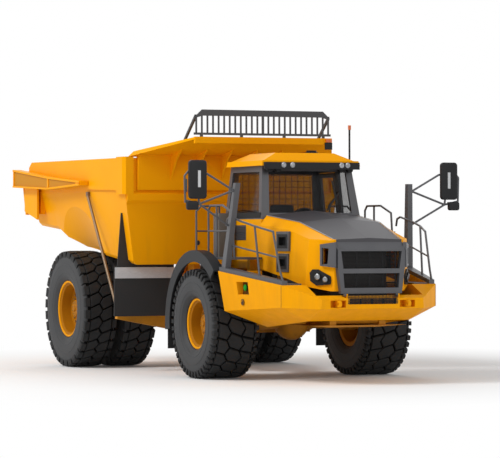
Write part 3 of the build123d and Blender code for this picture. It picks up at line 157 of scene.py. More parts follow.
# Side boxes, bumper, hood sides, cab tub, roof, bed and tailgate: bent and welded steel sheet in
# the machine's yellow, sprayed and baked, glossy, with a faint dust film and streaks low down.
machine_yellow = (0.94, 0.398, 0.002)
deep_yellow = (0.89, 0.352, 0.002)
yellow = Finish("yellow_paint", machine_yellow, 0.38, shine=0.035)
patches = yellow.noise(0.9, 3.0)
streaks = yellow.noise(3.0, 5.0, 0.62, (2.2, 2.2, 0.35))
film = (0.42 * (streaks - 0.42) + 0.10 * (1.9 - yellow.height())).kept_in()
paint = yellow.mixed((1.6 * (patches - 0.2)).kept_in(), deep_yellow, machine_yellow)
yellow.colour(yellow.mixed(film, paint, (0.36, 0.17, 0.03)))
yellow.roughen(0.30 + 0.12 * yellow.noise(6.0) + 0.5 * film)
yellow.relief(yellow.noise(160.0, 1.0), 0.05, 0.0004)
yellow.wear(["side_boxes", "front_bumper", "cab_roof", "cab_tub", "hood_flanks", "bin_body", "canopy", "tailgate"])

# Front and rear tyres: moulded rubber with a flat sidewall, thin moulded rings and deep tread
# blocks parted by narrow grooves, mounted on the rims and a little dusty on the sidewall.
sidewall_rubber = Finish("sidewall_rubber", (0.050, 0.050, 0.051), 0.62, shine=0.3)
dusting = sidewall_rubber.noise(2.5, 5.0)
sidewall_rubber.colour(sidewall_rubber.mixed(dusting, (0.036, 0.037, 0.039), (0.052, 0.053, 0.055)))
sidewall_rubber.relief(sidewall_rubber.noise(55.0), 0.2, 0.0012)
tread_rubber = Finish("tread_rubber", (0.0125, 0.0135, 0.0145), 0.7, shine=0.3)
scuffing = tread_rubber.noise(5.0, 6.0)
tread_rubber.colour(tread_rubber.mixed(scuffing, (0.010, 0.0108, 0.0115), (0.021, 0.0215, 0.0225)))
tread_rubber.relief(tread_rubber.noise(40.0), 0.3, 0.002)
# Floor of the grooves between the tread blocks: near-black painted shade, darker than the tread rubber.
groove_painted_shade = Finish("groove_painted_shade", (0.004, 0.004, 0.004), 0.85, shine=0.1)
lug_depth, groove, edge_round = 0.045, 0.036, 0.008


def solid_mesh(name, points, faces, finish, smooth_angle=None):
    """A mesh in its finish; smooth_angle rounds the shading of softer bends than that many degrees."""
    mesh = bpy.data.meshes.new(name)
    mesh.from_pydata([tuple(p) for p in points], [], faces)
    mesh.materials.append(finish.material)
    shell = bmesh.new()
    shell.from_mesh(mesh)
    bmesh.ops.recalc_face_normals(shell, faces=shell.faces)
    shell.to_mesh(mesh)
    shell.free()
    if smooth_angle is not None:
        mesh.shade_smooth()
        mesh.set_sharp_from_angle(angle=radians(smooth_angle))
    return mesh


def turned(profile, finish, sides=48, smooth_angle=32):
    """Turned piece about the y axis from (radius, offset) points; a radius of 0 closes it."""
    points, faces = [], []
    for radius, offset in profile:
        points += [(radius * sin(2 * pi * k / sides), offset, radius * cos(2 * pi * k / sides))
                   for k in range(sides)]
    for j in range(len(profile) - 1):
        for k in range(sides):
            a, b = j * sides + k, j * sides + (k + 1) % sides
            faces.append((a, b, b + sides, a + sides))
    mesh = solid_mesh("turned", points, faces, finish, smooth_angle)
    weld = bmesh.new()
    weld.from_mesh(mesh)
    bmesh.ops.remove_doubles(weld, verts=weld.verts, dist=0.00002)
    bmesh.ops.recalc_face_normals(weld, faces=weld.faces)
    weld.to_mesh(mesh)
    weld.free()
    return mesh


def moved(mesh, shift=(0, 0, 0), turn=None):
    """A copy of a mesh, turned by a matrix and then shifted."""
    copy = mesh.copy()
    copy.transform(Matrix.Translation(shift) @ (turn.to_4x4() if turn else Matrix.Identity(4)))
    return copy


def mirrored(mesh):
    """The same mesh on the other side of the machine, its faces pointing outwards again."""
    copy = mesh.copy()
    copy.transform(Matrix.Scale(-1, 4, (0, 1, 0)))
    copy.flip_normals()
    return copy


def piece(name, meshes, body):
    """One piece from meshes, riding on its body."""
    joined = bpy.data.meshes.new(name)
    sheets = bmesh.new()
    for mesh in meshes:
        for material in mesh.materials:
            if material.name not in [m.name for m in joined.materials]:
                joined.materials.append(material)
    order = [m.name for m in joined.materials]
    for mesh in meshes:
        first = len(sheets.faces)
        sheets.from_mesh(mesh)
        sheets.faces.ensure_lookup_table()
        for face in sheets.faces[first:]:
            face.material_index = order.index(mesh.materials[face.material_index].name)
    sheets.to_mesh(joined)
    sheets.free()
    made = bpy.data.objects.new(name, joined)
    bpy.context.collection.objects.link(made)
    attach(made, body)
    return made


class Repeat:
    """Geometry Nodes that repeat a piece, each copy one step and one turn on from the last."""

    def __init__(self):
        self.tree = bpy.data.node_groups.new("repeated_piece", "GeometryNodeTree")
        face = self.tree.interface
        face.new_socket("Geometry", in_out="INPUT", socket_type="NodeSocketGeometry")
        self.inputs = {}
        for name, kind in (("Count", "NodeSocketInt"), ("Start", "NodeSocketVector"), ("Step", "NodeSocketVector"),
                           ("Turn", "NodeSocketVector"), ("Finish", "NodeSocketMaterial")):
            self.inputs[name] = face.new_socket(name, in_out="INPUT", socket_type=kind).identifier
        face.new_socket("Geometry", in_out="OUTPUT", socket_type="NodeSocketGeometry")
        nodes, links = self.tree.nodes, self.tree.links
        given, result = nodes.new("NodeGroupInput"), nodes.new("NodeGroupOutput")
        places = nodes.new("GeometryNodeMeshLine")
        links.new(given.outputs["Count"], places.inputs["Count"])
        links.new(given.outputs["Start"], places.inputs["Start Location"])
        links.new(given.outputs["Step"], places.inputs["Offset"])
        index = nodes.new("GeometryNodeInputIndex")
        angle = nodes.new("ShaderNodeVectorMath")
        angle.operation = "SCALE"
        links.new(given.outputs["Turn"], angle.inputs[0])
        links.new(index.outputs[0], angle.inputs["Scale"])
        copies = nodes.new("GeometryNodeInstanceOnPoints")
        links.new(places.outputs[0], copies.inputs["Points"])
        links.new(given.outputs["Geometry"], copies.inputs["Instance"])
        links.new(angle.outputs[0], copies.inputs["Rotation"])
        real = nodes.new("GeometryNodeRealizeInstances")
        links.new(copies.outputs[0], real.inputs[0])
        paint = nodes.new("GeometryNodeSetMaterial")
        links.new(real.outputs[0], paint.inputs["Geometry"])
        links.new(given.outputs["Finish"], paint.inputs["Material"])
        links.new(paint.outputs[0], result.inputs[0])

    def make(self, mesh, finish, count, start=(0, 0, 0), step=(0, 0, 0), turn=(0, 0, 0)):
        """A mesh of count copies, the first at start."""
        worker = bpy.data.objects.new("repeat_worker", mesh)
        bpy.context.collection.objects.link(worker)
        modifier = worker.modifiers.new("repeat", "NODES")
        modifier.node_group = self.tree
        for name, value in (("Count", count), ("Start", start), ("Step", step), ("Turn", turn),
                            ("Finish", finish.material)):
            modifier[self.inputs[name]] = value
        graph = bpy.context.evaluated_depsgraph_get()
        made = bpy.data.meshes.new_from_object(worker.evaluated_get(graph), depsgraph=graph)
        worker.modifiers.remove(modifier)
        bpy.data.objects.remove(worker)
        return made


repeat = Repeat()


def side_profile(outer, width, rim_radius):
    """Half section of a tyre from its bead to the middle of the tread, as (radius, offset)."""
    half, base = width / 2, outer - lug_depth
    rise = base - rim_radius
    # Moulded rings of the sidewall, as shares of its rise and of the half width
    share = ((0.02, 0.80), (0.08, 0.875), (0.12, 0.90), (0.13, 0.915), (0.16, 0.918), (0.165, 0.93),
             (0.28, 0.965), (0.285, 0.974), (0.31, 0.975), (0.315, 0.969), (0.46, 0.99), (0.58, 0.985),
             (0.585, 0.992), (0.60, 0.991), (0.605, 0.981), (0.74, 0.965), (0.84, 0.95), (0.93, 0.915),
             (0.985, 0.86), (1.0, 0.80))
    bead_offset = width * 0.35 - 0.0003
    bead = [(rim_radius - 0.0335, bead_offset), (rim_radius + 0.004, bead_offset)]
    return bead + [(rim_radius + t * rise, half * y) for t, y in share] + [(base + 0.004, 0.4 * half)]


def tread_pitch(outer, width, pitches, rows, fingers, phases):
    """One pitch of the tread: hexagonal blocks in rows, and shoulder fingers on each side."""
    pitch = 2 * pi * outer / pitches
    base, half = outer - lug_depth - 0.004, width / 2
    made = []

    def at(s, y, r):
        return r * sin(2 * pi * s / pitches), y, r * cos(2 * pi * s / pitches)

    for phase, lean, y_a, bulge_a, y_b, bulge_b in rows:
        outline = [(phase, y_a), (phase + 0.5, y_a + bulge_a), (phase + 1, y_a), (phase + 1 + lean, y_b),
                   (phase + 0.5 + lean, y_b + bulge_b), (phase + lean, y_b)]
        middle_s, middle_y = sum(s for s, y in outline) / 6, sum(y for s, y in outline) / 6
        reach_y = max(abs(y - middle_y) for s, y in outline)
        points = []
        levels = ((base, 0.4 * groove), (outer - edge_round, 0.5 * groove), (outer, 0.5 * groove + edge_round))
        for r, inset in levels:
            keep_s, keep_y = 1 - inset / (0.5 * pitch), 1 - inset / reach_y
            points += [at(middle_s + (s - middle_s) * keep_s, middle_y + (y - middle_y) * keep_y, r)
                       for s, y in outline]
        faces = [(12, 13, 16, 17), (13, 14, 15, 16)]
        for ring in (0, 6):
            faces += [(ring + k, ring + (k + 1) % 6, ring + 6 + (k + 1) % 6, ring + 6 + k) for k in range(6)]
        made.append(solid_mesh("block", points, faces, tread_rubber))
    for side, start, y_in, length in fingers:
        for k in phases:
            section = ((y_in, base), (y_in, outer - 0.002), (0.955 * half, outer - 0.014),
                       (half * 0.985, outer - 0.060), (half * 0.965, outer - 0.125))
            points = []
            for s in (start + k + groove / pitch, start + k + length):
                points += [at(s, side * y, r) for y, r in section]
            faces = [tuple(range(5)), tuple(range(9, 4, -1))]
            faces += [(j, (j + 1) % 5, 5 + (j + 1) % 5, 5 + j) for j in range(5)]
            made.append(solid_mesh("finger", points, faces, tread_rubber))
    return made


axle_places = {"front": (2.313, 0.949), "rear": (-2.907, 1.0965)}
# A row of blocks: phase, lean, inner edge and its bulge, outer edge and its bulge
# Shoulder fingers: side, start, inner edge, length
front_rows = ((0.0, 0.25, 0.095, 0.075, -0.095, -0.075), (0.5, -0.18, 0.17, -0.075, 0.335, 0.0),
              (0.25, 0.18, -0.095, -0.075, -0.335, 0.0))
front_fingers = ((1, 0.32, 0.345, 0.40), (-1, 0.43, 0.345, 0.40))
rear_rows = ((0.0, 0.35, 0.035, -0.07, 0.215, 0.0), (0.5, -0.35, -0.035, 0.07, -0.215, 0.0))
rear_fingers = ((1, 0.35, 0.225, 0.86), (-1, 0.15, 0.225, 0.86))
# Outer radius, width, rim radius, pitches, pattern, middles of the tyres on the left, node in the CAD
tyre_sizes = {
    "front": (0.949, 0.875, 0.440, 22, front_rows, front_fingers, (0, 0.5), (1.467,), "front_tyre"),
    "rear": (1.0965, 0.655, 0.530, 30, rear_rows, rear_fingers, (0,), (1.148, 1.948), "rear_tyres"),
}
for axle, (outer, width, rim_radius, pitches, rows, fingers, phases, middles, node) in tyre_sizes.items():
    profile = side_profile(outer, width, rim_radius)
    walls = [turned([(r, side * y) for r, y in profile], sidewall_rubber, 96, 20) for side in (1, -1)]
    crown_radius = outer - lug_depth + 0.004
    crown = turned([(crown_radius, -0.4 * width), (crown_radius + 0.002, 0.4 * width)], groove_painted_shade, 96)
    blocks = [repeat.make(one, tread_rubber, pitches, turn=(0, 2 * pi / pitches, 0))
              for one in tread_pitch(outer, width, pitches, rows, fingers, phases)]
    x, z = axle_places[axle]
    left = [moved(mesh, (x, y, z)) for y in middles for mesh in walls + [crown] + blocks]
    for side, meshes in (("left", left), ("right", [mirrored(mesh) for mesh in left])):
        tyre = piece(f"{axle}_tread_{side}", meshes, f"{axle}_wheel_{side}")
        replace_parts(tyre, f"{node}_{side}")

# Rims: rolled and welded steel in the machine's yellow, with a lock ring, a ring of wheel nuts
# on the sloping disc and the bolted cover of the hub's gears. The rims and the cover are painted a
# darker orange as painted shade in the deep dish; the lock ring keeps the bright yellow.
nut_steel = Finish("nut_steel", (0.30, 0.17, 0.06), 0.45, metallic=0.3)
# Rims and hub cover: dull dark orange, the painted shade of the deep dish.
hub_shade = Finish("rim_painted_shade", (0.40, 0.15, 0.003), 0.5, shine=0.1)
hub_shade.wear(["front_rim_left", "front_rim_right", "rear_rims_left", "rear_rims_right"])
# A dark ring of painted shade in the gutter between the rim and the lock ring.
gutter_shade = Finish("rim_gutter_shade", (0.16, 0.060, 0.004), 0.6, shine=0.1)
nut_count, cover_bolt_count = 24, 10
# Rim radius, half width, disc's offset from the wheel's middle, wheel's middle, nut circle
rim_sizes = {"front": (0.440, 0.306, 0.056, 1.467, 0.300), "rear": (0.530, 0.229, -0.031, 1.948, 0.345)}
for axle, (radius, rim_half, disc, middle, circle) in rim_sizes.items():
    x, z = axle_places[axle]
    lock_ring = turned([(radius - 0.036, rim_half - 0.004), (radius - 0.034, rim_half + 0.020),
                        (radius - 0.008, rim_half + 0.029), (radius - 0.004, rim_half + 0.026)], yellow, 64)
    cover = turned([(0.175, disc + 0.070), (0.168, disc + 0.125), (0.145, disc + 0.150), (0.055, disc + 0.156),
                    (0.045, disc + 0.175), (0.0, disc + 0.178)], hub_shade, 40)
    nut = turned([(0.017, 0.0), (0.017, 0.024), (0.010, 0.028), (0.0, 0.028)], nut_steel, 6, 10)
    slope = disc + 0.06 * (circle - 0.25) / (radius - 0.094 - 0.25)
    nuts = repeat.make(moved(nut, (0, slope, circle)), nut_steel, nut_count, turn=(0, 2 * pi / nut_count, 0))
    gutter = turned([(radius - 0.0355, rim_half - 0.002), (radius - 0.052, rim_half - 0.006),
                     (radius - 0.052, rim_half - 0.030)], gutter_shade, 64)
    cover_bolt = turned([(0.009, 0.0), (0.009, 0.012), (0.0, 0.014)], nut_steel, 6, 10)
    cover_bolts = repeat.make(moved(cover_bolt, (0, disc + 0.149, 0.120)), nut_steel, cover_bolt_count,
                              turn=(0, 2 * pi / cover_bolt_count, 0))
    left = [moved(mesh, (x, middle, z)) for mesh in (lock_ring, gutter, cover, nuts, cover_bolts)]
    for side, meshes in (("left", left), ("right", [mirrored(mesh) for mesh in left])):
        piece(f"{axle}_wheel_nuts_{side}", meshes, f"{axle}_wheel_{side}")

# Fenders, walkways, cab frame, hood top, mask, posts and rails: pressed sheet and tube, powder
# coated in a dark blue-grey with a satin sheen.
anthracite = (0.068, 0.069, 0.078)
dark = Finish("anthracite_paint", anthracite, 0.44, coat=0.08)
dust = dark.noise(3.2, 5.0)
dark.colour(dark.mixed(dust, (0.055, 0.056, 0.064), (0.086, 0.086, 0.092)))
dark.roughen(0.38 + 0.16 * dust)
dark.relief(dark.noise(300.0, 1.0), 0.08, 0.0004)
dark.wear(["walkways", "cab_frame", "mirror_posts", "handrails", "hood_mask", "mirror_arms",
           "hoist_barrel_left", "hoist_barrel_right", "steering_barrel_left", "steering_barrel_right"])
hood_grey = Finish("hood_top_paint", (0.052, 0.050, 0.056), 0.42, shine=0.35)
hood_grey.wear(["hood_top"])
guard_grey = Finish("guard_paint", (0.038, 0.039, 0.043), 0.5)
guard_grey.wear(["rock_guard"])
fender_grey = Finish("fender_plastic", (0.022, 0.023, 0.025), 0.45, shine=0.15)
fender_grey.relief(fender_grey.noise(260.0, 1.0), 0.1, 0.0004)
fender_grey.wear(["front_fenders"])

# Rubber sheets: the mud flaps under the fenders and the panels hung from the bed are plain black
# rubber, and the panels are clamped by bright steel strips with bolts.
rubber = Finish("black_rubber", (0.036, 0.036, 0.037), 0.62, shine=0.15)
rubber.relief(rubber.noise(60.0), 0.15, 0.001)
rubber.wear(["mud_flaps", "mud_panels"])
strip_metal = Finish("strip_metal", (0.36, 0.355, 0.35), 0.5, metallic=0.1)
brushed = strip_metal.noise(9.0, 4.0, 0.5, (1.0, 1.0, 9.0))
strip_metal.colour(strip_metal.mixed(brushed, (0.44, 0.455, 0.48), (0.68, 0.69, 0.71)))
strip_metal.wear(["mud_panel_strips"])
stay_steel = Finish("stay_steel", (0.20, 0.13, 0.075), 0.45, metallic=0.5)
stay_steel.wear(["panel_stays"])


def slab(x, y, z, finish):
    """Straight plate or block between two limits along each axis."""
    points = [(x[i], y[j], z[k]) for i in (0, 1) for j in (0, 1) for k in (0, 1)]
    faces = [(0, 1, 3, 2), (4, 6, 7, 5), (0, 4, 5, 1), (2, 3, 7, 6), (0, 2, 6, 4), (1, 5, 7, 3)]
    return solid_mesh("slab", points, faces, finish)


def both_sides(meshes):
    return meshes + [mirrored(mesh) for mesh in meshes]


strip_face_x, strip_middle_z, bolt_pitch = -0.445, 1.80, 0.215
forwards = Matrix.Rotation(-pi / 2, 3, "Z")
bolt_head = moved(turned([(0.016, 0.0), (0.016, 0.006), (0.0, 0.012)], nut_steel, 12), turn=forwards)
bolt_heads = repeat.make(bolt_head, strip_metal, 5, (strip_face_x, 1.30, strip_middle_z), (0, bolt_pitch, 0))
end_y = (1.06, 1.2097)
panel_end = slab((strip_face_x - 0.030, strip_face_x - 0.020), end_y, (1.27, 1.95), rubber)
strip_end = slab((strip_face_x - 0.020, strip_face_x - 0.012), end_y, (1.70, 1.895), strip_metal)
piece("mud_panel_ends", both_sides([panel_end, strip_end]), "bin")
piece("strip_bolts", both_sides([bolt_heads]), "bin")

# Steering and hoist cylinders: the rods are ground steel with hard chrome, and each slides in its
# barrel between pins on the two frames, or on the rear frame and the bed.
chrome = Finish("rod_chrome", (0.62, 0.63, 0.65), 0.14, metallic=1.0)
chrome.roughen(0.10 + 0.12 * chrome.noise(30.0))
chrome.wear(["steering_rod_left", "steering_rod_right", "hoist_rod_left", "hoist_rod_right"])

# Engine and radiator core: iron and aluminium castings in a dull dark primer, bolted between the
# rails of the front frame and hardly seen behind the grilles.
casting = Finish("engine_casting", (0.045, 0.043, 0.040), 0.7)
casting.relief(casting.noise(45.0), 0.3, 0.002)
casting.wear(["engine", "radiator"])

# Bumper and side boxes: a black wire mesh in the intake, the seam beside each corner plate, a cast
# boss ring on each box with a black disc of painted shade in its hole, and the green release knob
# screwed into the right footwell before a dark plate of painted shade.
body_x = 2.893
plastic = Finish("black_plastic", (0.018, 0.018, 0.019), 0.46, shine=0.16)
plastic.roughen(0.40 + 0.14 * plastic.noise(12.0))
plastic.relief(plastic.noise(420.0, 1.0), 0.08, 0.0003)
plastic.wear(["bumper_intake", "visor", "antenna", "mirrors", "hood_vents", "grilles", "dashboard", "headlamps"])
shade_black = Finish("pocket_black", (0.010, 0.010, 0.010), 0.8)
recess_shade = Finish("recess_painted_shade", (0.10, 0.042, 0.006), 0.6, shine=0.1)
boss_metal = Finish("boss_metal", (0.16, 0.075, 0.012), 0.5, shine=0.2)
knob_green = Finish("knob_green", (0.006, 0.26, 0.016), 0.5, shine=0.1)
boss_x, boss_y, boss_z = body_x + 1.0, 1.6465, 1.352
boss_ring = turned([(0.034, 0.0), (0.040, 0.014), (0.050, 0.014), (0.056, 0.0)], boss_metal, 32)
# Black disc in the boss ring's hole: painted shade.
boss_hole_shade = turned([(0.036, 0.004), (0.0, 0.004)], shade_black, 32)
bosses = [moved(mesh, (boss_x, boss_y, boss_z)) for mesh in (boss_ring, boss_hole_shade)]
piece("side_box_bosses", both_sides(bosses), "front")
knob = turned([(0.020, 0.0), (0.020, 0.020), (0.052, 0.022), (0.056, 0.036), (0.040, 0.050), (0.0, 0.053)],
              knob_green, 24)
knob = moved(knob, (body_x + 1.045, 1.588, 1.595))
# Dark plate at the back of the footwell recess behind the knob: painted shade.
recess_back = slab((body_x + 0.8903, body_x + 1.1997), (1.5853, 1.590), (1.4803, 1.6897), recess_shade)
piece("release_knob", [mirrored(knob), mirrored(recess_back)], "front")
seam_x = body_x + 2.072
seam = slab((seam_x, seam_x + 0.008), (1.4400, 1.4415), (1.279, 1.640), shade_black)
piece("bumper_seams", both_sides([seam]), "front")
mesh_x, mesh_pitch = body_x + 2.588, 0.026
mesh_bar = slab((mesh_x, mesh_x + 0.004), (-0.004, 0.004), (1.335, 1.485), plastic)
mesh_bars = repeat.make(mesh_bar, plastic, 36, (0, -0.455, 0), (0, mesh_pitch, 0))
mesh_row = slab((mesh_x - 0.004, mesh_x), (-0.462, 0.462), (-0.003, 0.003), plastic)
mesh_rows = repeat.make(mesh_row, plastic, 6, (0, 0, 1.345), (0, 0, mesh_pitch))
piece("intake_mesh", [mesh_bars, mesh_rows], "front")

# Hood: plastic slats clipped into the side vents, frames of folded dark sheet screwed round them,
# and a light strip along each upper crease of the folded top, a painted highlight where the crease catches the
# light.
crease_highlight = Finish("crease_painted_highlight", (0.24, 0.24, 0.25), 0.35)
slat = slab((0.0, 0.262), (0.9255, 0.952), (0.0, 0.006), plastic)
slat_pitch = 0.0165
slats = []
for low, high, x in ((2.302, 2.438, body_x + 1.07), (1.952, 2.068, body_x + 1.055)):
    slats.append(repeat.make(slat, plastic, int((high - low) / slat_pitch), (x, 0, low), (0, 0, slat_pitch)))
piece("vent_slats", both_sides(slats), "hood")


def prism(outline, way, finish):
    """Plate from the (x, y, z) points of one face and the way to the other."""
    count = len(outline)
    points = [Vector(p) for p in outline] + [Vector(p) + Vector(way) for p in outline]
    faces = [tuple(range(count)), tuple(range(2 * count - 1, count - 1, -1))]
    faces += [(k, (k + 1) % count, count + (k + 1) % count, count + k) for k in range(count)]
    return solid_mesh("prism", points, faces, finish)


# Light strips along the upper creases of the hood top: painted highlight.
crease = [(body_x + x, y, z) for x, y, z in ((0.30, 0.858, 2.813), (1.35, 0.747, 2.693), (2.36, 0.615, 2.406))]
strip_across, strip_thickness = Vector((0, 0.016, -0.002)), 0.007
strips = []
for start, end in zip(crease, crease[1:]):
    outline = [start, end, Vector(end) + strip_across, Vector(start) + strip_across]
    strips.append(prism(outline, (0, 0, strip_thickness), crease_highlight))
piece("hood_crease_highlights", both_sides(strips), "hood")
surround = []
flange, depth = 0.045, (0.968, 1.006)
for low_x, high_x, low_z, high_z in ((1.000, 1.400, 2.250, 2.490), (1.000, 1.370, 1.900, 2.120)):
    low_x, high_x = body_x + low_x, body_x + high_x
    surround += [slab((low_x - flange, high_x + flange), depth, (high_z, high_z + flange), dark),
                 slab((low_x - flange, high_x + flange), depth, (low_z - flange, low_z), dark),
                 slab((low_x - flange, low_x), depth, (low_z, high_z), dark),
                 slab((high_x, high_x + flange), depth, (low_z, high_z), dark)]
piece("vent_surrounds", both_sides(surround), "hood")

# Headlamps: two round lamps on each slanted front corner, a bright faceted reflector dome inside a
# black ring, pressed into the moulded black housing; the dome's colour is mottled light and dark as painted
# reflections of its facets.
reflector = Finish("reflector", (0.28, 0.29, 0.30), 0.25, metallic=0.5, coat=0.2)
# Mottled light and dark base colour: painted reflections of the reflector's facets.
facet_reflections = reflector.noise(26.0, 1.0)
reflector.colour(reflector.mixed(facet_reflections, (0.10, 0.105, 0.11), (0.50, 0.51, 0.53)))
corner_x, corner_y, corner_along, corner_out = body_x + 2.44, 0.64, (-0.8255, 0.5644), (0.5644, 0.8255)
corner_turn = Matrix.Rotation(-asin(corner_out[0]), 3, "Z")
lamp_reach = 0.0505
lamps = []
for along, z, radius in ((0.150, 1.740, 0.052), (0.300, 1.785, 0.056)):
    place = (corner_x + along * corner_along[0] + lamp_reach * corner_out[0],
             corner_y + along * corner_along[1] + lamp_reach * corner_out[1], z)
    bezel = turned([(radius + 0.001, -0.020), (radius + 0.009, -0.018), (radius + 0.009, 0.004),
                    (radius + 0.003, 0.009), (radius - 0.006, 0.002)], plastic, 40)
    dome = turned([(radius - 0.005, 0.001), (radius * 0.75, 0.006), (radius * 0.4, 0.009), (0.0, 0.010)],
                  reflector, 40)
    lamps += [moved(mesh, place, corner_turn) for mesh in (bezel, dome)]
piece("headlamp_lenses", both_sides(lamps), "hood")

# Cab lining: headlining and inner panels are moulded in near-black foam and plastic, seen only
# dimly through the glass; the panes are laminated and tinted.
glass = Finish("tinted_glass", (0.012, 0.013, 0.014), 0.05, shine=0.25)
glass.shader.inputs["Alpha"].default_value = 0.30
glass.wear(["cab_glass", "door_glass"])
cab_rear, cab_sill, cab_top = body_x - 1.300, 2.750, 3.670
lining = Finish("cab_lining", (0.055, 0.053, 0.050), 0.8)
headliner = slab((cab_rear + 0.11, body_x + 0.03), (-0.79, 0.79), (cab_top - 0.030, cab_top - 0.004), lining)
rear_lining = slab((cab_rear + 0.056, cab_rear + 0.070), (-0.85, 0.85), (1.975, cab_sill + 0.05), lining)
piece("cab_lining", [headliner, rear_lining], "front")

# Driver's seat: a steel pedestal bolted to the cab's floor, a padded seat cushion and a tall padded
# backrest, both covered in charcoal cloth with a sewn seam round the edge.
cloth = Finish("seat_cloth", (0.030, 0.030, 0.033), 0.9)
cloth.relief(cloth.noise(900.0, 2.0), 0.2, 0.0004)


def cushion(size, crown, finish):
    """Closed, crowned cushion about its middle with a sewn seam round its edge."""
    steps = 10
    half = [side / 2 for side in size]
    points, faces, index = [], [], {}
    for face in (1, -1):
        for i in range(steps + 1):
            for j in range(steps + 1):
                u, v = 2 * i / steps - 1, 2 * j / steps - 1
                at_seam = abs(u) == 1 or abs(v) == 1
                if face == -1 and at_seam:
                    index[face, i, j] = index[1, i, j]
                    continue
                rise = (1 - abs(u) ** 4) * (1 - abs(v) ** 4)
                corner = 1 - 0.06 * (u * v) ** 2
                z = 0.0 if at_seam else face * (half[2] - crown + crown * rise ** 0.5)
                index[face, i, j] = len(points)
                points.append((half[0] * u * corner, half[1] * v * corner, z))
        for i in range(steps):
            for j in range(steps):
                quad = (index[face, i, j], index[face, i + 1, j], index[face, i + 1, j + 1], index[face, i, j + 1])
                faces.append(quad if face == 1 else quad[::-1])
    return solid_mesh("cushion", points, faces, finish, 60)


seat_x, seat_floor, seat_lean = cab_rear + 0.560, 1.9603, 0.10
pedestal = [slab((seat_x - 0.16, seat_x + 0.16), (-0.15, 0.15), (seat_floor, seat_floor + 0.05), lining),
            slab((seat_x - 0.10, seat_x + 0.10), (-0.10, 0.10), (seat_floor + 0.05, seat_floor + 0.27), plastic),
            slab((seat_x - 0.18, seat_x + 0.20), (-0.20, 0.20), (seat_floor + 0.27, seat_floor + 0.318), lining)]
back_frame = slab((-0.012, 0.0), (-0.12, 0.12), (-0.30, 0.30), plastic)
back_tilt = Matrix.Rotation(-seat_lean, 3, "Y")
pedestal.append(moved(back_frame, (seat_x - 0.262, 0, seat_floor + 0.735), back_tilt))
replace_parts(piece("seat_pedestal", pedestal, "front"), "driver_seat")
sitting = moved(cushion((0.48, 0.49, 0.13), 0.035, cloth), (seat_x + 0.012, 0, seat_floor + 0.385))
seat_cushion = piece("seat_cushion", [sitting], "front")
leaning = moved(cushion((0.60, 0.48, 0.105), 0.030, cloth), (seat_x - 0.200, 0, seat_floor + 0.755),
                Matrix.Rotation(-pi / 2 - seat_lean, 3, "Y"))
seat_backrest = piece("seat_backrest", [leaning], "front")

# Cab outside: a belt band and a pressed louvre panel under the right window, crossing wiper arms, a
# welded wire grid over the rear window and round glass lenses in the work lamps. The door's lower
# half is sprayed yellow and its window frame dark.
band = slab((cab_rear + 0.10, body_x + 0.20), (0.9405, 0.9515), (2.770, 2.865), shade_black)
panel_x = body_x - 0.87
louvre_back = slab((panel_x, panel_x + 0.47), (0.9505, 0.957), (2.39, 2.65), dark)
louvre = prism([(0.0, 0.957, 0.0), (0.0, 0.957, 0.016), (0.0, 0.966, 0.004)], (0.43, 0, 0), guard_grey)
louvre_pitch = 0.029
louvres = repeat.make(louvre, guard_grey, 8, (panel_x + 0.02, 0, 2.405), (0, 0, louvre_pitch))
piece("cab_louvre_panel", [mirrored(mesh) for mesh in (band, louvre_back, louvres)], "front")


def screen_x(z):
    """Outer face of the leaning windscreen at height z."""
    return body_x + 0.235 - 0.1902 * (z - cab_sill)


# Foot and tip of each arm, and half its width
wiper_arms = (((0.334, 2.96), (0.57, 3.21), 0.016), ((0.512, 2.998), (0.455, 3.417), 0.016),
              ((0.30, 2.90), (0.60, 3.24), 0.010))
arms = []
for (y0, z0), (y1, z1), half_width in wiper_arms:
    across = Vector((0, z1 - z0, y0 - y1)).normalized() * half_width
    foot, tip = [Vector((screen_x(z) + 0.012, y, z)) for y, z in ((y0, z0), (y1, z1))]
    arms.append(prism([foot - across, tip - across, tip + across, foot + across], (0.014, 0, 0), shade_black))
piece("wipers", arms, "front")
guard_x = cab_rear - 0.012
upright_bar = slab((guard_x - 0.006, guard_x), (-0.005, 0.005), (2.90, 3.55), plastic)
cross_bar = slab((guard_x - 0.010, guard_x - 0.004), (-0.74, 0.74), (-0.005, 0.005), plastic)
upright_bars = repeat.make(upright_bar, plastic, 13, (0, -0.72, 0), (0, 0.12, 0))
cross_bars = repeat.make(cross_bar, plastic, 7, (0, 0, 2.91), (0, 0, 0.105))
piece("rear_window_guard", [upright_bars, cross_bars], "front")
# The work lamp lenses wear the same painted facet reflections.
work_lens = turned([(0.046, 0.0), (0.030, 0.003), (0.0, 0.004)], reflector, 32)
work_bezel = turned([(0.046, 0.0), (0.051, 0.004), (0.0525, -0.006)], plastic, 32)
work_x, work_z = body_x + 0.2905, cab_top + 0.012
lenses = [moved(mesh, (work_x, y, work_z), forwards) for y in (-0.545, -0.379, 0.564, 0.680)
          for mesh in (work_lens, work_bezel)]
piece("work_lamp_lenses", lenses, "front")
plastic.wear(["work_lamps", "beacon"])
two_tone = Finish("door_paint", machine_yellow, 0.38, coat=0.2)
over_sill = (200.0 * (two_tone.height() - (cab_sill + 0.002))).kept_in()
two_tone.colour(two_tone.mixed(over_sill, machine_yellow, anthracite))
two_tone.wear(["cab_door"])

# Antenna: a black steel whip in a square plastic sleeve, with a small amber lamp at its tip, stood
# on its bracket on the left of the cab.
amber = Finish("amber_lens", (0.62, 0.12, 0.006), 0.25, coat=0.5)
mast_x, mast_y = body_x - 0.400, 1.0556
sleeve = slab((mast_x - 0.012, mast_x + 0.012), (mast_y - 0.012, mast_y + 0.012), (3.72, 4.33), shade_black)
tip_lamp = slab((mast_x - 0.020, mast_x + 0.020), (mast_y - 0.020, mast_y + 0.020), (4.33, 4.409), amber)
piece("antenna_sleeve", [sleeve, tip_lamp], "front")

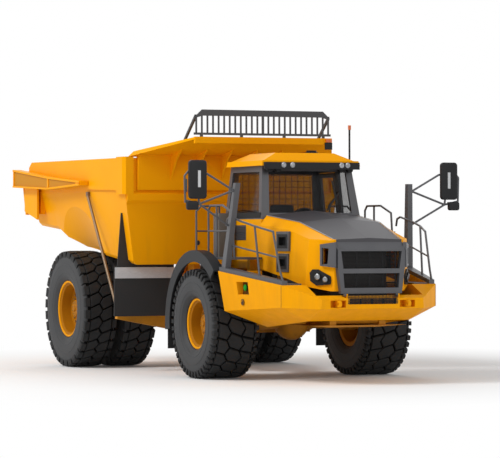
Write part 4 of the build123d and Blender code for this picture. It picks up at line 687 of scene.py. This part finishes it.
# Cooler cabinet on the right walkway: a box of folded sheet metal with pressed ribs across its
# outer face, screwed to the walkway and grey with dust.
cabinet_grey = Finish("cabinet_paint", (0.10, 0.095, 0.09), 0.6)
cabinet_dust = cabinet_grey.noise(4.0)
cabinet_grey.colour(cabinet_grey.mixed(cabinet_dust, (0.08, 0.076, 0.072), (0.15, 0.135, 0.115)))
cabinet_x, cabinet_y = (body_x - 1.05, body_x - 0.80), (1.03, 1.28)
cabinet = slab(cabinet_x, cabinet_y, (2.102, 2.86), cabinet_grey)
rib_x, rib_y, rib_pitch = (cabinet_x[0] + 0.01, cabinet_x[1] - 0.01), (cabinet_y[1], cabinet_y[1] + 0.008), 0.029
rib = slab(rib_x, rib_y, (0.0, 0.012), cabinet_grey)
ribs = repeat.make(rib, cabinet_grey, 24, (0, 0, 2.14), (0, 0, rib_pitch))
piece("cooler_cabinet", [mirrored(mesh) for mesh in (cabinet, ribs)], "front")

# Mirrors: moulded black heads clamped to a tube frame, silvered glass on the side that faces the
# cab and a small pale clamp plate on the other.
silver = Finish("mirror_glass", (0.75, 0.77, 0.79), 0.04, metallic=1.0)
clamp_metal = Finish("clamp_metal", (0.50, 0.51, 0.52), 0.4, metallic=0.3)
mirror_back = body_x + 0.760 + 0.018 + 0.0003


def mirror_head(y, z, rounding, finish):
    """Moulded head with rounded corners and a slightly domed front."""
    rings = []
    for x, inset in ((mirror_back, 0.0), (mirror_back + 0.050, 0.0), (mirror_back + 0.064, 0.012),
                     (mirror_back + 0.069, 0.035)):
        ring = []
        for corner in range(4):
            centre_y = (y[1] if corner in (0, 3) else y[0]) + (rounding if corner in (1, 2) else -rounding)
            centre_z = (z[1] if corner in (0, 1) else z[0]) + (rounding if corner in (2, 3) else -rounding)
            for k in range(7):
                angle = radians(90 * corner + 15 * k)
                reach = rounding - inset
                ring.append((x, centre_y + reach * cos(angle), centre_z + reach * sin(angle)))
        rings.append(ring)
    count = len(rings[0])
    faces = [tuple(range(count)), tuple(range(3 * count, 4 * count))]
    for low, high in ((0, count), (count, 2 * count), (2 * count, 3 * count)):
        faces += [(low + k, low + (k + 1) % count, high + (k + 1) % count, high + k) for k in range(count)]
    return solid_mesh("mirror_head", [p for ring in rings for p in ring], faces, finish, 35)


glasses, heads = [], []
for y, z, rounding in (((2.225, 2.545), (3.085, 3.735), 0.060), ((2.375, 2.585), (2.900, 3.050), 0.040)):
    heads.append(mirror_head(y, z, rounding, plastic))
    glasses.append(slab((mirror_back - 0.0015, mirror_back - 0.0003), (y[0] + rounding / 2, y[1] - rounding / 2),
                        (z[0] + rounding / 2, z[1] - rounding / 2), silver))
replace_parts(piece("mirror_heads", both_sides(heads), "front"), "mirrors")
clamp = slab((mirror_back + 0.0695, mirror_back + 0.074), (2.345, 2.395), (3.28, 3.56), clamp_metal)
piece("mirror_clamps", both_sides([clamp]), "front")
piece("mirror_glasses", both_sides(glasses), "front")

# Tailgate arms: folded flanges along the top and bottom edges of the boxed arms and an upright
# rib, welded to the side plates; the bed's front wall carries two round rubber plugs.
gate_x, gate_z, arm_face, flange_reach = -1.957, 3.450, 2.335, 0.030
bend_x, arm_rear = gate_x - 1.650, gate_x - 3.600
top_edge = ((gate_x + 0.05, gate_z + 0.040), (bend_x, gate_z + 0.150), (arm_rear, gate_z + 0.330))
low_edge = ((gate_x + 0.05, gate_z - 0.040), (bend_x, gate_z - 0.090), (arm_rear, gate_z - 0.020))
arm_shade = Finish("arm_recess_painted_shade", (0.56, 0.235, 0.012), 0.55, shine=0.1)


def edge_height(edge, x):
    """Height at x of an arm's edge, which runs straight between its corners."""
    (x0, z0), (x1, z1) = edge[1:] if x < bend_x else edge[:2]
    return z0 + (z1 - z0) * (x - x0) / (x1 - x0)


flanges = []
for edge, thickness in ((top_edge, -0.034), (low_edge, 0.034)):
    for (x0, z0), (x1, z1) in zip(edge, edge[1:]):
        outline = [(x0, arm_face, z0), (x1, arm_face, z1), (x1, arm_face, z1 + thickness),
                   (x0, arm_face, z0 + thickness)]
        flanges.append(prism(outline, (0, flange_reach, 0), yellow))
for x, half_width in ((bend_x, 0.030), (arm_rear + 0.02, 0.020), (gate_x - 0.10, 0.060)):
    flanges.append(slab((x - half_width, x + half_width), (arm_face, arm_face + 0.7 * flange_reach),
                        (edge_height(low_edge, x) + 0.01, edge_height(top_edge, x) - 0.01), yellow))
# The sunk face between the flanges, painted a darker yellow as shade: x, upper and lower height of its three ends
recess_ends = ((gate_x - 0.16, 3.46, 3.43), (bend_x, 3.57, 3.39), (arm_rear + 0.02, 3.75, 3.46))
for (x0, top0, low0), (x1, top1, low1) in zip(recess_ends, recess_ends[1:]):
    flanges.append(prism([(x0, arm_face, top0), (x1, arm_face, top1), (x1, arm_face, low1), (x0, arm_face, low0)],
                         (0, 0.002, 0), arm_shade))
piece("arm_flanges", both_sides(flanges), "tailgate")
plug = turned([(0.045, 0.0), (0.045, 0.008), (0.020, 0.012), (0.0, 0.012)], rubber, 32)
piece("bed_plugs", both_sides([moved(plug, (body_x - 3.100, 0.70, 2.34), forwards)]), "bin")

# Canopy lamp: a moulded amber lens on a black bracket, screwed to the canopy's lip towards its left
# end, where it shows over the cab.
canopy_lamp_x = body_x - 1.70
lamp_bracket = slab((canopy_lamp_x, canopy_lamp_x + 0.030), (1.20, 1.34), (4.02, 4.146), plastic)
amber_lens = slab((canopy_lamp_x - 0.005, canopy_lamp_x + 0.040), (1.22, 1.33), (4.150, 4.205), amber)
piece("canopy_lamp", [lamp_bracket, amber_lens], "bin")

# Studio: a white seamless floor and backdrop that keeps a soft grey shadow, three large soft
# lamps, and the camera at the photograph's place.
floor_half, shadow_reach, fade = 60.0, 5.2, 0.16
floor_white, faint_glow = (0.86, 0.86, 0.86), (0.03, 0.03, 0.03)
white_floor = Finish("white_floor", floor_white, 0.95, shine=0.0)
from_middle = white_floor.node("ShaderNodeVectorMath", {"operation": "LENGTH"}, {0: white_floor.place()}).outputs[1]
outwards = (fade * (Amount(white_floor, from_middle) - shadow_reach)).kept_in()
white_floor.colour(white_floor.mixed(outwards, floor_white, (0.0, 0.0, 0.0)))
white_floor.feed(white_floor.shader.inputs["Emission Color"],
                 white_floor.mixed(outwards, faint_glow, (1.0, 1.0, 1.0)))
white_floor.shader.inputs["Emission Strength"].default_value = 1.0
floor_mesh = solid_mesh("floor", [(-floor_half, -floor_half, 0), (floor_half, -floor_half, 0),
                                  (floor_half, floor_half, 0), (-floor_half, floor_half, 0)], [(0, 1, 2, 3)],
                        white_floor)
floor = bpy.data.objects.new("floor", floor_mesh)
bpy.context.collection.objects.link(floor)

world = bpy.context.scene.world or bpy.data.worlds.new("studio")
bpy.context.scene.world = world
world.use_nodes = True
sky = world.node_tree
for old in list(sky.nodes):
    sky.nodes.remove(old)
out = sky.nodes.new("ShaderNodeOutputWorld")
light_path = sky.nodes.new("ShaderNodeLightPath")
ambient_strength, backdrop_strength = 0.52, 1.0
backgrounds = []
for strength in (ambient_strength, backdrop_strength):
    background = sky.nodes.new("ShaderNodeBackground")
    background.inputs["Color"].default_value = (1, 1, 1, 1)
    background.inputs["Strength"].default_value = strength
    backgrounds.append(background)
seen = light_path.outputs["Is Camera Ray"]
for other in ("Is Glossy Ray", "Is Transmission Ray"):
    either = sky.nodes.new("ShaderNodeMath")
    either.operation = "MAXIMUM"
    sky.links.new(seen, either.inputs[0])
    sky.links.new(light_path.outputs[other], either.inputs[1])
    seen = either.outputs[0]
blend = sky.nodes.new("ShaderNodeMixShader")
for socket, link in zip(blend.inputs, (seen, backgrounds[0].outputs[0], backgrounds[1].outputs[0])):
    sky.links.new(link, socket)
sky.links.new(blend.outputs[0], out.inputs[0])

soft_lamps = (("key_light", (2, -24, 24), 9.0, 5600), ("side_light", (26, 4, 12), 8.0, 1000),
              ("back_light", (-20, 6, 20), 9.0, 1200))
for name, place, size, power in soft_lamps:
    lamp = bpy.data.lights.new(name, "AREA")
    lamp.shape = "SQUARE"
    lamp.size = size
    lamp.energy = power
    lit = bpy.data.objects.new(name, lamp)
    bpy.context.collection.objects.link(lit)
    lit.location = place
    lit.rotation_euler = (Vector((0, 0, 1.5)) - Vector(place)).to_track_quat("-Z", "Y").to_euler()

camera_place = (46.995, -21.076, 2.437)
camera_yaw, camera_pitch, camera_roll = radians(155.585), radians(0.171), radians(-0.125)
camera = bpy.data.cameras.new("camera")
camera.lens = 202.8
camera.sensor_width = 36.0
camera.clip_end = 400.0
eye = bpy.data.objects.new("camera", camera)
bpy.context.collection.objects.link(eye)
ahead = Vector((cos(camera_pitch) * cos(camera_yaw), cos(camera_pitch) * sin(camera_yaw), sin(camera_pitch)))
turn = ahead.to_track_quat("-Z", "Y").to_matrix().to_4x4() @ Matrix.Rotation(camera_roll, 4, "Z")
eye.matrix_world = Matrix.Translation(camera_place) @ turn
bpy.context.scene.camera = eye
bpy.context.scene.view_settings.view_transform = "Standard"
